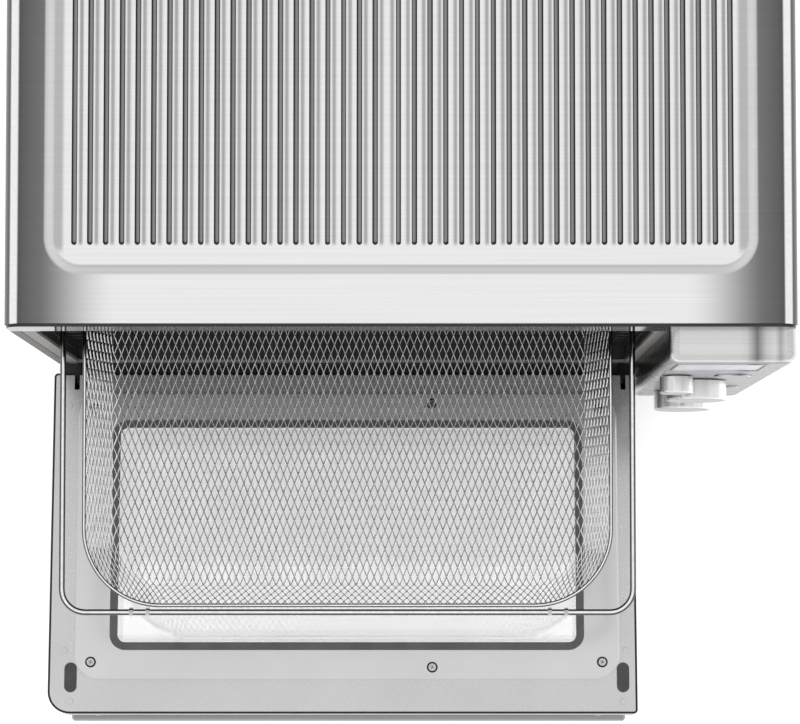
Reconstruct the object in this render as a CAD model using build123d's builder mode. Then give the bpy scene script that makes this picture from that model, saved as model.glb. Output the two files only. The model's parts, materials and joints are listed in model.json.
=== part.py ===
from build123d import *
import os
from math import cos, hypot, radians, sin

os.makedirs("parts", exist_ok=True)

# A countertop oven with its door folded down and its mesh basket drawn out.
# X runs to the right, Y to the back, Z up from the counter. All sizes are in millimetres.

# Body
body_width = 544.0
body_depth = 370.0
body_height = 322.0
front = -48.0              # cover's front edge, which centres the open oven on the origin
sheet = 1.0                # steel sheet of the cover, the pan and the rear panel
foot_height = 16.0
foot_radius = 14.0
foot_inset = 36.0          # foot's centre from the sides and from the front and back
foot_taper = 6.0           # degrees
pan_flange = 14.0
cover_round = 14.0         # long top edges of the cover
seat = 0.3                 # clearance where a piece is seated on another
half = body_width / 2
rear = front + body_depth
inner_half = half - sheet

# Bead and grooves pressed into the cover
bead_side = 28.0           # from the cover's sides to the bead
bead_width = body_width - 2 * bead_side
bead_front = 33.0          # from the cover's front edge to the bead
bead_back = 30.0
bead_band = 6.0
bead_rise = 1.2
bead_taper = 50.0          # degrees, which rounds the bead off
bead_corner = 26.0
groove_width = 3.4
groove_depth = 0.5
groove_front = 53.5        # from the cover's front edge to the grooves
groove_back = 48.0
left_grooves = 20
right_grooves = 22
groove_pitch = 10.8
groove_gap = 15.9          # wider land between the two groups
groove_split_x = -9.7      # middle of that land
side_vents = 9
vent_length = 36.0
vent_width = 3.0
vent_pitch = 9.0
vent_z = 210.0
vent_from_rear = 60.0

# Cavity and its opening in the front frame
cavity_left_space = 18.0   # between the cavity and the cover's left side
cavity_right_space = 96.0  # room for the controls beside the cavity
cavity_rear_space = 68.0   # room for the fan behind the cavity
cavity_x = (cavity_left_space - cavity_right_space) / 2
cavity_width = body_width - cavity_left_space - cavity_right_space
cavity_depth = body_depth - cavity_rear_space
cavity_floor = 60.0
cavity_drop = 29.0         # cavity's top below the cover's
cavity_top = body_height - cavity_drop
liner = 0.8
floor_ledge = 24.0         # floor left round the opening over the crumb tray
frame_thickness = 2.2
frame_inset = 1.0          # the frame stands this much inside the cover's outline
opening_corner = 8.0
cavity_left = cavity_x - cavity_width / 2
cavity_right = cavity_x + cavity_width / 2
cavity_back = front + cavity_depth
cavity_height = cavity_top - cavity_floor

# Rack rails
rack_first = 87.5          # top of the lowest rib
rack_pitch = 22.0
rack_ribs = 8
rib_height = 5.0
rib_reach = 12.0
rib_ends = 12.0            # rib's ends from the opening and from the back wall
rail_margin = 4.0          # plate above the top rib and below the lowest

# Heating rods, each through a ceramic bush in both side walls
rod_radius = 3.2
rod_fit = 0.2
upper_rods = 4
upper_rod_drop = 15.0      # below the cavity's top
upper_rod_z = cavity_top - upper_rod_drop
lower_rods = 2
lower_rod_z = 74.0
upper_rod_pitch = 66.0
lower_rod_pitch = 150.0
rods_depth = 155.0         # middle of each row of rods from the front
rods_y = front + rods_depth
rod_overhang = 9.0
bush_radius = 5.5
bush_length = 6.0
probe_radius = 2.0
probe_length = 60.0
probe_ahead = 18.0         # ahead of the cavity's back wall
probe_drop = 35.0          # below the cavity's top
probe_y = cavity_back - probe_ahead
probe_z = cavity_top - probe_drop

# Convection fan behind the cavity's back wall
fan_z = 182.0
fan_radius = 54.0
fan_hub_radius = 12.0
fan_blades = 8
blade_width = 14.0
blade_thickness = 1.0
fan_disc = 1.0
fan_gap = 4.0              # from the back wall to the blades
fan_port_radius = 60.0
fan_cover_radius = 68.0
fan_cover_thickness = 1.2
fan_slots = 12
fan_slot_width = 5.0
fan_slot_margin = 14.0
housing_radius = 72.0
housing_depth = 26.0
shaft_radius = 3.0
shaft_fit = 0.05
motor_radius = 27.0
motor_depth = 30.0
motor_ears = 10.0
motor_bore_share = 0.7     # part of the motor's depth that the shaft enters

# Crumb tray under the cavity, which slides out below the door
tray_side = 13.0           # tray's sides inside the cavity's
tray_back = 16.0           # tray's back ahead of the cavity's
tray_width = cavity_width - 2 * tray_side
tray_depth = cavity_depth - tray_back
tray_bottom = 19.5
tray_height = 20.0
tray_sheet = 1.0
tray_front_height = 23.5
tray_front_thickness = 1.5
tray_pull = 7.0
tray_pull_length = 120.0
tray_slot_clearance = 1.2
runner_width = 10.0

# Hinge: the door stands at this angle from closed in the rest pose
door_open_angle = 84.0
hinge_ahead = 17.0         # hinge's axis ahead of the cover's front edge
hinge_y = front - hinge_ahead
hinge_z = 54.0
pin_radius = 2.0
pin_end = 1.0
pin_fit = 0.05
eye_radius = 4.5
bracket_thickness = 3.0
bracket_clearance = 0.5
ear_thickness = 2.0
hinge_slot_top = 9.0       # slots reach this far above the hinge's axis

# Door, sized along its own height from the hinge's axis to its tip
door_side = 0.0            # door's left edge inside the cover's
door_controls = 90.0       # width left at the right of the door for the controls
door_left = -half + door_side
door_right = half - door_controls
hinge_left_inset = 18.0    # hinges from the door's edges
hinge_right_inset = 8.0
hinge_left_x = door_left + hinge_left_inset
hinge_right_x = door_right - hinge_right_inset
door_bottom = -4.0
door_top = 262.2
door_outer = 7.0           # outer face from the hinge's axis
door_inner = 14.0          # inner face from the hinge's axis
door_sheet = 1.2
door_tip_corner = 17.0     # large corner at the tip's left end
door_small_corner = 3.0
door_rim_gap = 0.4         # dark line between the shell's rim and the inner frame
plate_left_inset = 20.0
plate_right_inset = 13.6
plate_left = door_left + plate_left_inset
plate_right = door_right - plate_right_inset
plate_bottom = 12.0
plate_top = 236.0
plate_corner = 19.0
plate_rise = 3.0           # the inner plate stands this much into the cavity
plate_sheet = 1.0
plate_overlap = 3.0        # plate's rim beyond its hole in the inner frame
plate_edge = 1.2
window_margin = 27.4       # plate left beside the window
window_left = plate_left + window_margin
window_right = plate_right - window_margin
window_bottom = 34.0
window_top = 213.4
window_corner = 12.0
trim_fit = 0.15            # clearance round the gasket and the inner glass
gasket_band = 5.8
gasket_depth = 5.0
gasket_lip = 0.8           # gasket's height above the plate
glass_thickness = 3.0
glass_drop = 1.0           # inner glass below the gasket's lip
glass_overlap = 8.0        # outer glass beyond its hole in the shell
screw_radius = 3.5
screw_head = 1.1
screw_left_inset = 13.0    # end screws from the plate's ends
screw_right_inset = 13.5
screw_middle_x = 24.0
screw_xs = (plate_left + screw_left_inset, screw_middle_x, plate_right - screw_right_inset)
screw_tip_rows = (222.8, 226.8, 222.8)
screw_hinge_rows = (24.6, 20.6, 24.6)
bumper_width = 9.5
bumper_length = 23.0
bumper_height = 0.5
bumper_row = 234.4
bumper_left_inset = 17.4
bumper_right_inset = 11.0
bumper_left_x = door_left + bumper_left_inset
bumper_right_x = door_right - bumper_right_inset
rivet_radius = 2.6
rivet_rise = 0.4
rivet_left_inset = 12.3
rivet_right_inset = 8.5
rivet_rows = (22.0, 213.4)
rivet_tip_row = 253.0      # one more beyond each bumper
rivet_places = [(x, row) for x in (door_left + rivet_left_inset, door_right - rivet_right_inset)
                for row in rivet_rows]
rivet_places += [(bumper_left_x, rivet_tip_row), (bumper_right_x, rivet_tip_row)]

# Handle bar on two posts
handle_left_inset = 12.0   # bar's ends inside the door's edges
handle_right_inset = 5.0
handle_left = door_left + handle_left_inset
handle_right = door_right - handle_right_inset
handle_row = 255.0         # bar's middle along the door's height
handle_height = 20.0
handle_thickness = 11.0
handle_round = 4.0
handle_end = 1.5
handle_standoff = 30.0     # from the door's outer face to the bar
post_radius = 6.5
post_inset = 22.0

# Basket
wire_radius = 2.2
carrier_side_gap = 7.25    # from the carrier to the cavity's walls
carrier_back_gap = 14.0
carrier_width = cavity_width - 2 * carrier_side_gap
carrier_depth = cavity_depth - carrier_back_gap
carrier_corner = 17.0
basket_level = 5           # the rib that the carrier rests on, counted from the lowest
basket_closed_gap = 6.0    # from the cover's front edge to the carrier's front wire, closed
basket_travel = 203.5
rim_radius = 1.4
rim_side = 15.75           # rim inside the carrier's side wires
rim_width = carrier_width - 2 * rim_side
rim_front = 5.0            # rim behind the carrier's front wire
rim_back = 5.0
rim_corner = 56.0
mesh_thickness = 0.9
mesh_height = 40.0
mesh_slope = 16.0          # walls lean in by this much towards the floor
mesh_columns = 16
mesh_rows = 8
mesh_strand = 2.4
mesh_margin = 16.0
wall_columns = 14
wall_rows = 9
wall_margin = 10.0
clip_thickness = 0.8
clip_width = 3.0
clip_pairs = (-151.0, 153.0)   # pairs of clips along the wires, from the cavity's middle
clip_spread = 6.0

# Control fascia
fascia_width = 88.0
fascia_left = half - fascia_width
fascia_bottom = 22.0
fascia_drop = 11.0         # fascia's top below the cover's
fascia_top = body_height - fascia_drop
fascia_depth = 26.0
fascia_seam = 13.0         # seam between the fascia and its base, ahead of the cover's edge
fascia_round = 9.0         # corners of the fascia's outline
fascia_edge = 7.0          # rounding of its front edges
fascia_wall = 2.0
seam_inset = 0.2           # base's outline inside the fascia's
# Each control's place is given from the cover's right side and from the fascia's top
display_inset = 50.0
display_drop = 35.0
display_x = half - display_inset
display_z = fascia_top - display_drop
display_width = 60.0
display_height = 46.0
display_corner = 3.0
bezel_band = 1.8
bezel_rise = 0.6
window_thickness = 1.6
module_margin = 3.0        # display module above and below the window
board_ahead = 6.5          # control board's back face ahead of the cover's edge
board_thickness = 1.6
encoder_side = 13.0
encoder_depth = 7.0
encoder_floor = 1.5
spindle_radius = 3.0
spindle_hole_clearance = 0.6
spindle_fit = 0.05
knob_gap = 1.0             # running gap between a knob and the fascia
knob_wall = 2.0
knob_edge = 1.5
small_knob_radius = 12.0
small_knob_depth = 12.0
small_knob_inset = 72.0
small_knob_drop = 102.0
small_knob_x = half - small_knob_inset
small_knob_z = fascia_top - small_knob_drop
knob_radius = 22.0
knob_depth = 14.0
knob_inset = 52.5
middle_knob_drop = 143.0
lower_knob_drop = 236.0
knob_x = half - knob_inset
middle_knob_z = fascia_top - middle_knob_drop
lower_knob_z = fascia_top - lower_knob_drop
round_button_radius = 13.0
round_button_inset = 31.5
round_button_drop = 99.0
round_button_x = half - round_button_inset
round_button_z = fascia_top - round_button_drop
small_button_radius = 5.0
small_button_inset = 19.4
small_button_drop = 193.0
small_button_x = half - small_button_inset
small_button_z = fascia_top - small_button_drop
button_fit = 0.35
button_rise = 1.4
button_edge = 0.8
button_flange = 1.0
button_flange_depth = 1.0
button_travel = 1.0
button_stem = 2.5
switch_side = 6.0
switch_height = 4.0

# Rear panel and cord inlet
rear_vents = 12
rear_vent_length = 60.0
rear_vent_pitch = 9.0
rear_vent_rows = (110.0, 225.0)
inlet_inset = 56.0
inlet_x = half - inlet_inset
inlet_z = 70.0
inlet_bore = 4.0
inlet_radius = 9.0
inlet_hole_radius = 6.5
inlet_reach = 9.0
rear_screw_radius = 3.0
rear_screw_head = 1.8
rear_screw_inset = 14.0


def rounded_frame(width, height, corner, band):
    """A closed band of even width inside a rounded rectangle."""
    RectangleRounded(width, height, corner)
    RectangleRounded(width - 2 * band, height - 2 * band, corner - band, mode=Mode.SUBTRACT)


def upright(y):
    """A plane that faces the front, at this place along the depth."""
    return Plane.XZ.offset(-y)


def block(x, y, z, mode=Mode.ADD):
    """A box between a pair of limits along each axis."""
    with Locations(((x[0] + x[1]) / 2, (y[0] + y[1]) / 2, (z[0] + z[1]) / 2)):
        Box(x[1] - x[0], y[1] - y[0], z[1] - z[0], mode=mode)


def arch(y, width, bottom, top, corner):
    """An upright outline with its two top corners rounded."""
    with BuildSketch(upright(y)) as outline:
        with Locations((0, (bottom + top) / 2)):
            Rectangle(width, top - bottom)
        fillet(outline.vertices().group_by(Axis.Y)[-1], corner)
    return outline.sketch


# Outer cover: one sheet folded over the top and both sides
bead_length = body_depth - bead_front - bead_back
bead_y = front + bead_front + bead_length / 2
groove_length = body_depth - groove_front - groove_back
groove_y = front + groove_front + groove_length / 2
left_groove_x = groove_split_x - groove_gap / 2 - (left_grooves - 1) * groove_pitch / 2
right_groove_x = groove_split_x + groove_gap / 2 + (right_grooves - 1) * groove_pitch / 2
with BuildPart() as outer_cover:
    extrude(arch(front, body_width, foot_height, body_height, cover_round), amount=-body_depth)
    inside = arch(front, 2 * inner_half, foot_height, body_height - sheet, cover_round - sheet)
    extrude(inside, amount=-body_depth, mode=Mode.SUBTRACT)
    with BuildSketch(Plane.XY.offset(body_height)):
        with Locations((0, bead_y)):
            rounded_frame(bead_width, bead_length, bead_corner, bead_band)
    extrude(amount=bead_rise, taper=bead_taper)
    with BuildSketch(Plane.XY.offset(body_height)):
        with Locations((left_groove_x, groove_y)):
            with GridLocations(groove_pitch, groove_length, left_grooves, 1):
                SlotOverall(groove_length, groove_width, rotation=90)
        with Locations((right_groove_x, groove_y)):
            with GridLocations(groove_pitch, groove_length, right_grooves, 1):
                SlotOverall(groove_length, groove_width, rotation=90)
    extrude(amount=-groove_depth, mode=Mode.SUBTRACT)
    with BuildSketch(Plane.YZ):
        with Locations((rear - vent_from_rear, vent_z)):
            with GridLocations(vent_length, vent_pitch, 1, side_vents):
                SlotOverall(vent_length, vent_width)
    extrude(amount=body_width, both=True, mode=Mode.SUBTRACT)
outer_cover.part.label = "outer_cover"
export_step(outer_cover.part, "parts/outer_cover.step")

# Front frame with the cavity's opening and the crumb tray's slot
tray_left = cavity_x - tray_width / 2
tray_right = cavity_x + tray_width / 2
tray_slot_top = tray_bottom + tray_height + tray_slot_clearance
frame_half = half - frame_inset
with BuildPart() as front_frame:
    frame_outline = arch(
        front - frame_thickness, 2 * frame_half, foot_height,
        body_height - frame_inset, cover_round - frame_inset)
    extrude(frame_outline, amount=-frame_thickness)
    with BuildSketch(upright(front - frame_thickness)):
        with Locations((cavity_x, cavity_floor + cavity_height / 2)):
            RectangleRounded(cavity_width, cavity_height, opening_corner)
        with Locations((cavity_x, (foot_height + sheet + tray_slot_top) / 2)):
            Rectangle(tray_width + 2 * tray_slot_clearance, tray_slot_top - foot_height - sheet)
    extrude(amount=-frame_thickness, mode=Mode.SUBTRACT)
front_frame.part.label = "front_frame"
export_step(front_frame.part, "parts/front_frame.step")

# Base pan with flanges at the sides and the rear, and two runners for the crumb tray
pan_top = foot_height + sheet
runner_height = tray_bottom - seat - pan_top
pan_rear = rear - sheet
with BuildPart() as base_pan:
    block((-inner_half, inner_half), (front, pan_rear), (foot_height, pan_top))
    for side in (-1, 1):
        flange = sorted((side * inner_half, side * (inner_half - sheet)))
        block(flange, (front, pan_rear), (pan_top, pan_top + pan_flange))
    block((-inner_half, inner_half), (pan_rear - sheet, pan_rear), (pan_top, pan_top + pan_flange))
    for runner_x in (tray_left + runner_width, tray_right - runner_width):
        runner = (runner_x - runner_width / 2, runner_x + runner_width / 2)
        block(runner, (front, front + tray_depth), (pan_top, pan_top + runner_height))
base_pan.part.label = "base_pan"
export_step(base_pan.part, "parts/base_pan.step")

# Four feet
foot_spacing_x = body_width - 2 * foot_inset
foot_spacing_y = body_depth - 2 * foot_inset
with BuildPart() as feet:
    with BuildSketch(Plane.XY):
        with Locations((0, front + body_depth / 2)):
            with GridLocations(foot_spacing_x, foot_spacing_y, 2, 2):
                Circle(foot_radius)
    extrude(amount=foot_height, taper=-foot_taper)
feet.part.label = "feet"
export_step(feet.part, "parts/feet.step")

# Rear panel between the folds of the cover, with vents and the cord's hole
with BuildPart() as rear_panel:
    panel_outline = arch(
        rear - sheet, 2 * (inner_half - seat), foot_height + seat,
        body_height - sheet - seat, cover_round - sheet - seat)
    extrude(panel_outline, amount=-sheet)
    with BuildSketch(upright(rear - sheet)):
        for vent_row in rear_vent_rows:
            with Locations((cavity_x, vent_row)):
                with GridLocations(rear_vent_pitch, rear_vent_length, rear_vents, 1):
                    SlotOverall(rear_vent_length, vent_width, rotation=90)
        with Locations((inlet_x, inlet_z)):
            Circle(inlet_hole_radius)
    extrude(amount=-sheet, mode=Mode.SUBTRACT)
rear_panel.part.label = "rear_panel"
export_step(rear_panel.part, "parts/rear_panel.step")

# Cord inlet: a flanged bush through the rear panel
with BuildPart() as cord_inlet:
    with BuildSketch(upright(rear)):
        with Locations((inlet_x, inlet_z)):
            Circle(inlet_radius)
    extrude(amount=-inlet_reach, taper=4)
    with BuildSketch(upright(rear)):
        with Locations((inlet_x, inlet_z)):
            Circle(inlet_hole_radius - seat)
    extrude(amount=inlet_reach)
    with BuildSketch(upright(rear)):
        with Locations((inlet_x, inlet_z)):
            Circle(inlet_bore)
    extrude(amount=2 * inlet_reach, both=True, mode=Mode.SUBTRACT)
cord_inlet.part.label = "cord_inlet"
export_step(cord_inlet.part, "parts/cord_inlet.step")

# Screws that hold the rear panel to the pan's flange
rear_screw_z = pan_top + pan_flange / 2
with BuildPart() as rear_screws:
    with BuildSketch(upright(rear)):
        with Locations((0, rear_screw_z)):
            with GridLocations(2 * (inner_half - rear_screw_inset) / 3, rear_screw_z, 4, 1):
                Circle(rear_screw_radius)
    extrude(amount=-rear_screw_head, taper=20)
rear_screws.part.label = "rear_screws"
export_step(rear_screws.part, "parts/rear_screws.step")

# Cavity liner: an open box, with the fan's port and the holes of the rods and the probe
liner_left = cavity_left - liner
liner_right = cavity_right + liner
tray_opening_left = cavity_left + floor_ledge
tray_opening_right = cavity_right - floor_ledge
with BuildPart() as cavity_liner:
    block((liner_left, liner_right), (front, cavity_back + liner),
          (cavity_floor - liner, cavity_top + liner))
    block((cavity_left, cavity_right), (front, cavity_back),
          (cavity_floor, cavity_top), mode=Mode.SUBTRACT)
    block((tray_opening_left, tray_opening_right),
          (front + floor_ledge, cavity_back - floor_ledge),
          (cavity_floor - liner, cavity_floor), mode=Mode.SUBTRACT)
    with BuildSketch(upright(cavity_back)):
        with Locations((cavity_x, fan_z)):
            Circle(fan_port_radius)
    extrude(amount=-liner, mode=Mode.SUBTRACT)
    with BuildSketch(Plane.YZ):
        with Locations((rods_y, upper_rod_z)):
            with GridLocations(upper_rod_pitch, upper_rod_z, upper_rods, 1):
                Circle(rod_radius + rod_fit)
        with Locations((rods_y, lower_rod_z)):
            with GridLocations(lower_rod_pitch, lower_rod_z, lower_rods, 1):
                Circle(rod_radius + rod_fit)
    extrude(amount=body_width, both=True, mode=Mode.SUBTRACT)
    with BuildSketch(Plane.YZ.offset(cavity_right)):
        with Locations((probe_y, probe_z)):
            Circle(probe_radius + rod_fit)
    extrude(amount=liner, mode=Mode.SUBTRACT)
cavity_liner.part.label = "cavity_liner"
export_step(cavity_liner.part, "parts/cavity_liner.step")


def rack_rail(wall_x, inward):
    """One side's rail panel: a plate on the liner's wall with round-nosed ribs."""
    rail_low = rack_first - rib_height - rail_margin
    rail_high = rack_first + (rack_ribs - 1) * rack_pitch + rail_margin
    nose = rib_height / 2
    with BuildPart() as rail:
        plate = sorted((wall_x, wall_x + inward * liner))
        block(plate, (front + rib_ends / 2, cavity_back - rib_ends / 2), (rail_low, rail_high))
        with BuildSketch(upright(front + rib_ends)):
            for level in range(rack_ribs):
                rib_z = rack_first + level * rack_pitch - nose
                with Locations((wall_x + inward * (rib_reach - nose) / 2, rib_z)):
                    Rectangle(rib_reach - nose, rib_height)
                with Locations((wall_x + inward * (rib_reach - nose), rib_z)):
                    Circle(nose)
        extrude(amount=-(cavity_depth - 2 * rib_ends))
    return rail.part


# Rack rails on the cavity's left and right walls
left_rack_rail = rack_rail(cavity_left, 1)
left_rack_rail.label = "left_rack_rail"
export_step(left_rack_rail, "parts/left_rack_rail.step")
right_rack_rail = rack_rail(cavity_right, -1)
right_rack_rail.label = "right_rack_rail"
export_step(right_rack_rail, "parts/right_rack_rail.step")


def rods(height, pitch, count, radius):
    """Bars along X through both side walls, in a row from front to back."""
    with BuildSketch(Plane.YZ.offset(liner_left - rod_overhang)) as ends:
        with Locations((rods_y, height)):
            with GridLocations(pitch, height, count, 1):
                Circle(radius)
    return ends.sketch


# Heating rods near the cavity's top and floor
rod_length = cavity_width + 2 * liner + 2 * rod_overhang
with BuildPart() as upper_heaters:
    extrude(rods(upper_rod_z, upper_rod_pitch, upper_rods, rod_radius), amount=rod_length)
upper_heaters.part.label = "upper_heaters"
export_step(upper_heaters.part, "parts/upper_heaters.step")
with BuildPart() as lower_heaters:
    extrude(rods(lower_rod_z, lower_rod_pitch, lower_rods, rod_radius), amount=rod_length)
lower_heaters.part.label = "lower_heaters"
export_step(lower_heaters.part, "parts/lower_heaters.step")

# Ceramic bushes on the rods, outside both walls
with BuildPart() as heater_bushes:
    for bush_x in (liner_left - bush_length, liner_right):
        with BuildSketch(Plane.YZ.offset(bush_x)):
            for height, pitch, count in ((upper_rod_z, upper_rod_pitch, upper_rods),
                                         (lower_rod_z, lower_rod_pitch, lower_rods)):
                with Locations((rods_y, height)):
                    with GridLocations(pitch, height, count, 1):
                        Circle(bush_radius)
                        Circle(rod_radius + rod_fit, mode=Mode.SUBTRACT)
        extrude(amount=bush_length)
heater_bushes.part.label = "heater_bushes"
export_step(heater_bushes.part, "parts/heater_bushes.step")

# Temperature probe through the right wall
with BuildPart() as temperature_probe:
    with BuildSketch(Plane.YZ.offset(cavity_right + liner)):
        with Locations((probe_y, probe_z)):
            Circle(bush_radius)
    extrude(amount=bush_length)
    with BuildSketch(Plane.YZ.offset(cavity_right + liner)):
        with Locations((probe_y, probe_z)):
            Circle(probe_radius)
    extrude(amount=-probe_length)
    fillet(temperature_probe.edges().sort_by(Axis.X)[0], probe_radius * 0.9)
temperature_probe.part.label = "temperature_probe"
export_step(temperature_probe.part, "parts/temperature_probe.step")

# Fan cover: a slotted disc on the back wall
slot_span = fan_cover_radius - fan_slot_margin - fan_hub_radius
with BuildPart() as fan_cover:
    with BuildSketch(upright(cavity_back - fan_cover_thickness)):
        with Locations((cavity_x, fan_z)):
            Circle(fan_cover_radius)
            with PolarLocations(fan_hub_radius + slot_span / 2, fan_slots):
                SlotOverall(slot_span, fan_slot_width, mode=Mode.SUBTRACT)
    extrude(amount=-fan_cover_thickness)
fan_cover.part.label = "fan_cover"
export_step(fan_cover.part, "parts/fan_cover.step")

# Fan housing: a round pan behind the back wall
wall_back = cavity_back + liner
housing_back = wall_back + housing_depth
with BuildPart() as fan_housing:
    with BuildSketch(upright(wall_back)):
        with Locations((cavity_x, fan_z)):
            Circle(housing_radius)
    extrude(amount=-housing_depth)
    with BuildSketch(upright(wall_back)):
        with Locations((cavity_x, fan_z)):
            Circle(housing_radius - sheet)
    extrude(amount=-(housing_depth - sheet), mode=Mode.SUBTRACT)
    with BuildSketch(upright(wall_back)):
        with Locations((cavity_x, fan_z)):
            Circle(shaft_radius + seat)
    extrude(amount=-housing_depth, mode=Mode.SUBTRACT)
fan_housing.part.label = "fan_housing"
export_step(fan_housing.part, "parts/fan_housing.step")

# Fan motor with two ears and a bore for the shaft
with BuildPart() as fan_motor:
    with BuildSketch(upright(housing_back)):
        with Locations((cavity_x, fan_z)):
            Circle(motor_radius)
    extrude(amount=-motor_depth)
    with BuildSketch(upright(housing_back)):
        with Locations((cavity_x, fan_z)):
            SlotCenterToCenter(2 * (motor_radius + motor_ears / 2), motor_ears)
    extrude(amount=-2 * sheet)
    with BuildSketch(upright(housing_back)):
        with Locations((cavity_x, fan_z)):
            Circle(shaft_radius + shaft_fit)
    extrude(amount=-motor_depth * motor_bore_share, mode=Mode.SUBTRACT)
fan_motor.part.label = "fan_motor"
export_step(fan_motor.part, "parts/fan_motor.step")

# Fan: a disc with straight blades round a hub
blades_front = wall_back + fan_gap
blades_back = blades_front + blade_width
blade_tip = fan_radius - blade_thickness
blade_root = fan_hub_radius - 2 * blade_thickness
with BuildPart() as convection_fan:
    with BuildSketch(upright(blades_back)):
        with Locations((cavity_x, fan_z)):
            Circle(fan_radius)
    extrude(amount=-fan_disc)
    with BuildSketch(upright(blades_front)):
        with Locations((cavity_x, fan_z)):
            with PolarLocations((blade_tip + blade_root) / 2, fan_blades):
                Rectangle(blade_tip - blade_root, blade_thickness)
            Circle(fan_hub_radius)
    extrude(amount=-blade_width)
    with BuildSketch(upright(blades_front)):
        with Locations((cavity_x, fan_z)):
            Circle(shaft_radius)
    extrude(amount=-(blade_width + fan_disc), mode=Mode.SUBTRACT)
convection_fan.part.label = "convection_fan"
export_step(convection_fan.part, "parts/convection_fan.step")

# Fan shaft from the hub into the motor
with BuildPart() as fan_shaft:
    with BuildSketch(upright(blades_front)):
        with Locations((cavity_x, fan_z)):
            Circle(shaft_radius)
    extrude(amount=-(housing_back + motor_depth * motor_bore_share - seat - blades_front))
fan_shaft.part.label = "fan_shaft"
export_step(fan_shaft.part, "parts/fan_shaft.step")

# Crumb tray: a shallow pan
with BuildPart() as crumb_tray:
    block((tray_left, tray_right), (front, front + tray_depth),
          (tray_bottom, tray_bottom + tray_height))
    block((tray_left + tray_sheet, tray_right - tray_sheet),
          (front + tray_sheet, front + tray_depth - tray_sheet),
          (tray_bottom + tray_sheet, tray_bottom + tray_height), mode=Mode.SUBTRACT)
crumb_tray.part.label = "crumb_tray"
export_step(crumb_tray.part, "parts/crumb_tray.step")

# Crumb tray's front with its curled pull
tray_face = front - frame_thickness - seat
with BuildPart() as crumb_tray_front:
    block((tray_left - runner_width / 2, tray_right + runner_width / 2),
          (tray_face - tray_front_thickness, tray_face),
          (tray_bottom - seat, tray_bottom + tray_front_height))
    block((tray_left + tray_sheet, tray_right - tray_sheet), (tray_face, front),
          (tray_bottom + tray_sheet, tray_bottom + tray_height - tray_sheet))
    with BuildSketch(Plane.YZ.offset(cavity_x)):
        with Locations((tray_face - tray_front_thickness, tray_bottom + tray_pull)):
            Rectangle(tray_pull, tray_front_thickness, align=(Align.MAX, Align.MIN))
        with Locations((tray_face - tray_front_thickness - tray_pull, tray_bottom + tray_pull)):
            Circle(tray_front_thickness, align=(Align.CENTER, Align.MIN))
    extrude(amount=tray_pull_length / 2, both=True)
crumb_tray_front.part.label = "crumb_tray_front"
export_step(crumb_tray_front.part, "parts/crumb_tray_front.step")

# The door's plane lies in its hinge's axis: local X runs along the axis, local Y up the door's
# own height to its tip, and local Z outwards, away from the cavity
door_lean = radians(door_open_angle)
door_plane = Plane(origin=(0, hinge_y, hinge_z), x_dir=(1, 0, 0),
                   z_dir=(0, -cos(door_lean), -sin(door_lean)))
inner_face = -door_inner
plate_face = inner_face - plate_rise


def door_section(x):
    """A plane across the door: local X up the door's height, local Y outwards."""
    return Plane(origin=(x, hinge_y, hinge_z),
                 x_dir=(0, -sin(door_lean), cos(door_lean)), z_dir=(1, 0, 0))


def door_outline(level, inset):
    """The door's outline, with the large corner at the tip's left end."""
    left, right = door_left + inset, door_right - inset
    low, high = door_bottom + inset, door_top - inset
    small = max(door_small_corner - inset, 0.5)
    with BuildSketch(door_plane.offset(level)) as outline:
        with BuildLine():
            FilletPolyline((left, low), (right, low), (right, high), (left, high),
                           radius=[small, small, small, door_tip_corner - inset], close=True)
        make_face()
    return outline.sketch


def window(level, grow):
    """The window's outline, grown evenly."""
    with BuildSketch(door_plane.offset(level)) as outline:
        with Locations(((window_left + window_right) / 2, (window_bottom + window_top) / 2)):
            RectangleRounded(window_right - window_left + 2 * grow,
                             window_top - window_bottom + 2 * grow, window_corner + grow)
    return outline.sketch


def hinge_slots(clearance, top):
    """The ends of the slots that the hinge brackets turn in."""
    slot_width = bracket_thickness + 2 * clearance
    with BuildSketch(door_plane.offset(inner_face - plate_rise)) as slots:
        with Locations((hinge_left_x, top), (hinge_right_x, top)):
            Rectangle(slot_width, top - door_bottom + bracket_clearance,
                      align=(Align.CENTER, Align.MAX))
    return slots.sketch


# Door's outer shell: a tray of sheet with the window's hole and the hinge slots
slot_depth = door_inner + plate_rise + eye_radius + bracket_clearance
with BuildPart() as door_outer_shell:
    extrude(door_outline(inner_face, 0), amount=door_inner + door_outer)
    extrude(door_outline(inner_face, door_sheet),
            amount=door_inner + door_outer - door_sheet, mode=Mode.SUBTRACT)
    extrude(window(inner_face, 0), amount=door_inner + door_outer, mode=Mode.SUBTRACT)
    extrude(hinge_slots(bracket_clearance, hinge_slot_top), amount=slot_depth,
            mode=Mode.SUBTRACT)
door_outer_shell.part.label = "door_outer_shell"
export_step(door_outer_shell.part, "parts/door_outer_shell.step")

# Door's inner frame: a flat sheet inside the shell's rim
with BuildPart() as door_inner_frame:
    extrude(door_outline(inner_face, door_sheet + door_rim_gap), amount=plate_sheet)
    with BuildSketch(door_plane.offset(inner_face)):
        with Locations(((plate_left + plate_right) / 2, (plate_bottom + plate_top) / 2)):
            RectangleRounded(plate_right - plate_left - 2 * plate_overlap,
                             plate_top - plate_bottom - 2 * plate_overlap,
                             plate_corner - plate_overlap)
    extrude(amount=plate_sheet, mode=Mode.SUBTRACT)
    extrude(hinge_slots(bracket_clearance, hinge_slot_top), amount=slot_depth,
            mode=Mode.SUBTRACT)
door_inner_frame.part.label = "door_inner_frame"
export_step(door_inner_frame.part, "parts/door_inner_frame.step")

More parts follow.
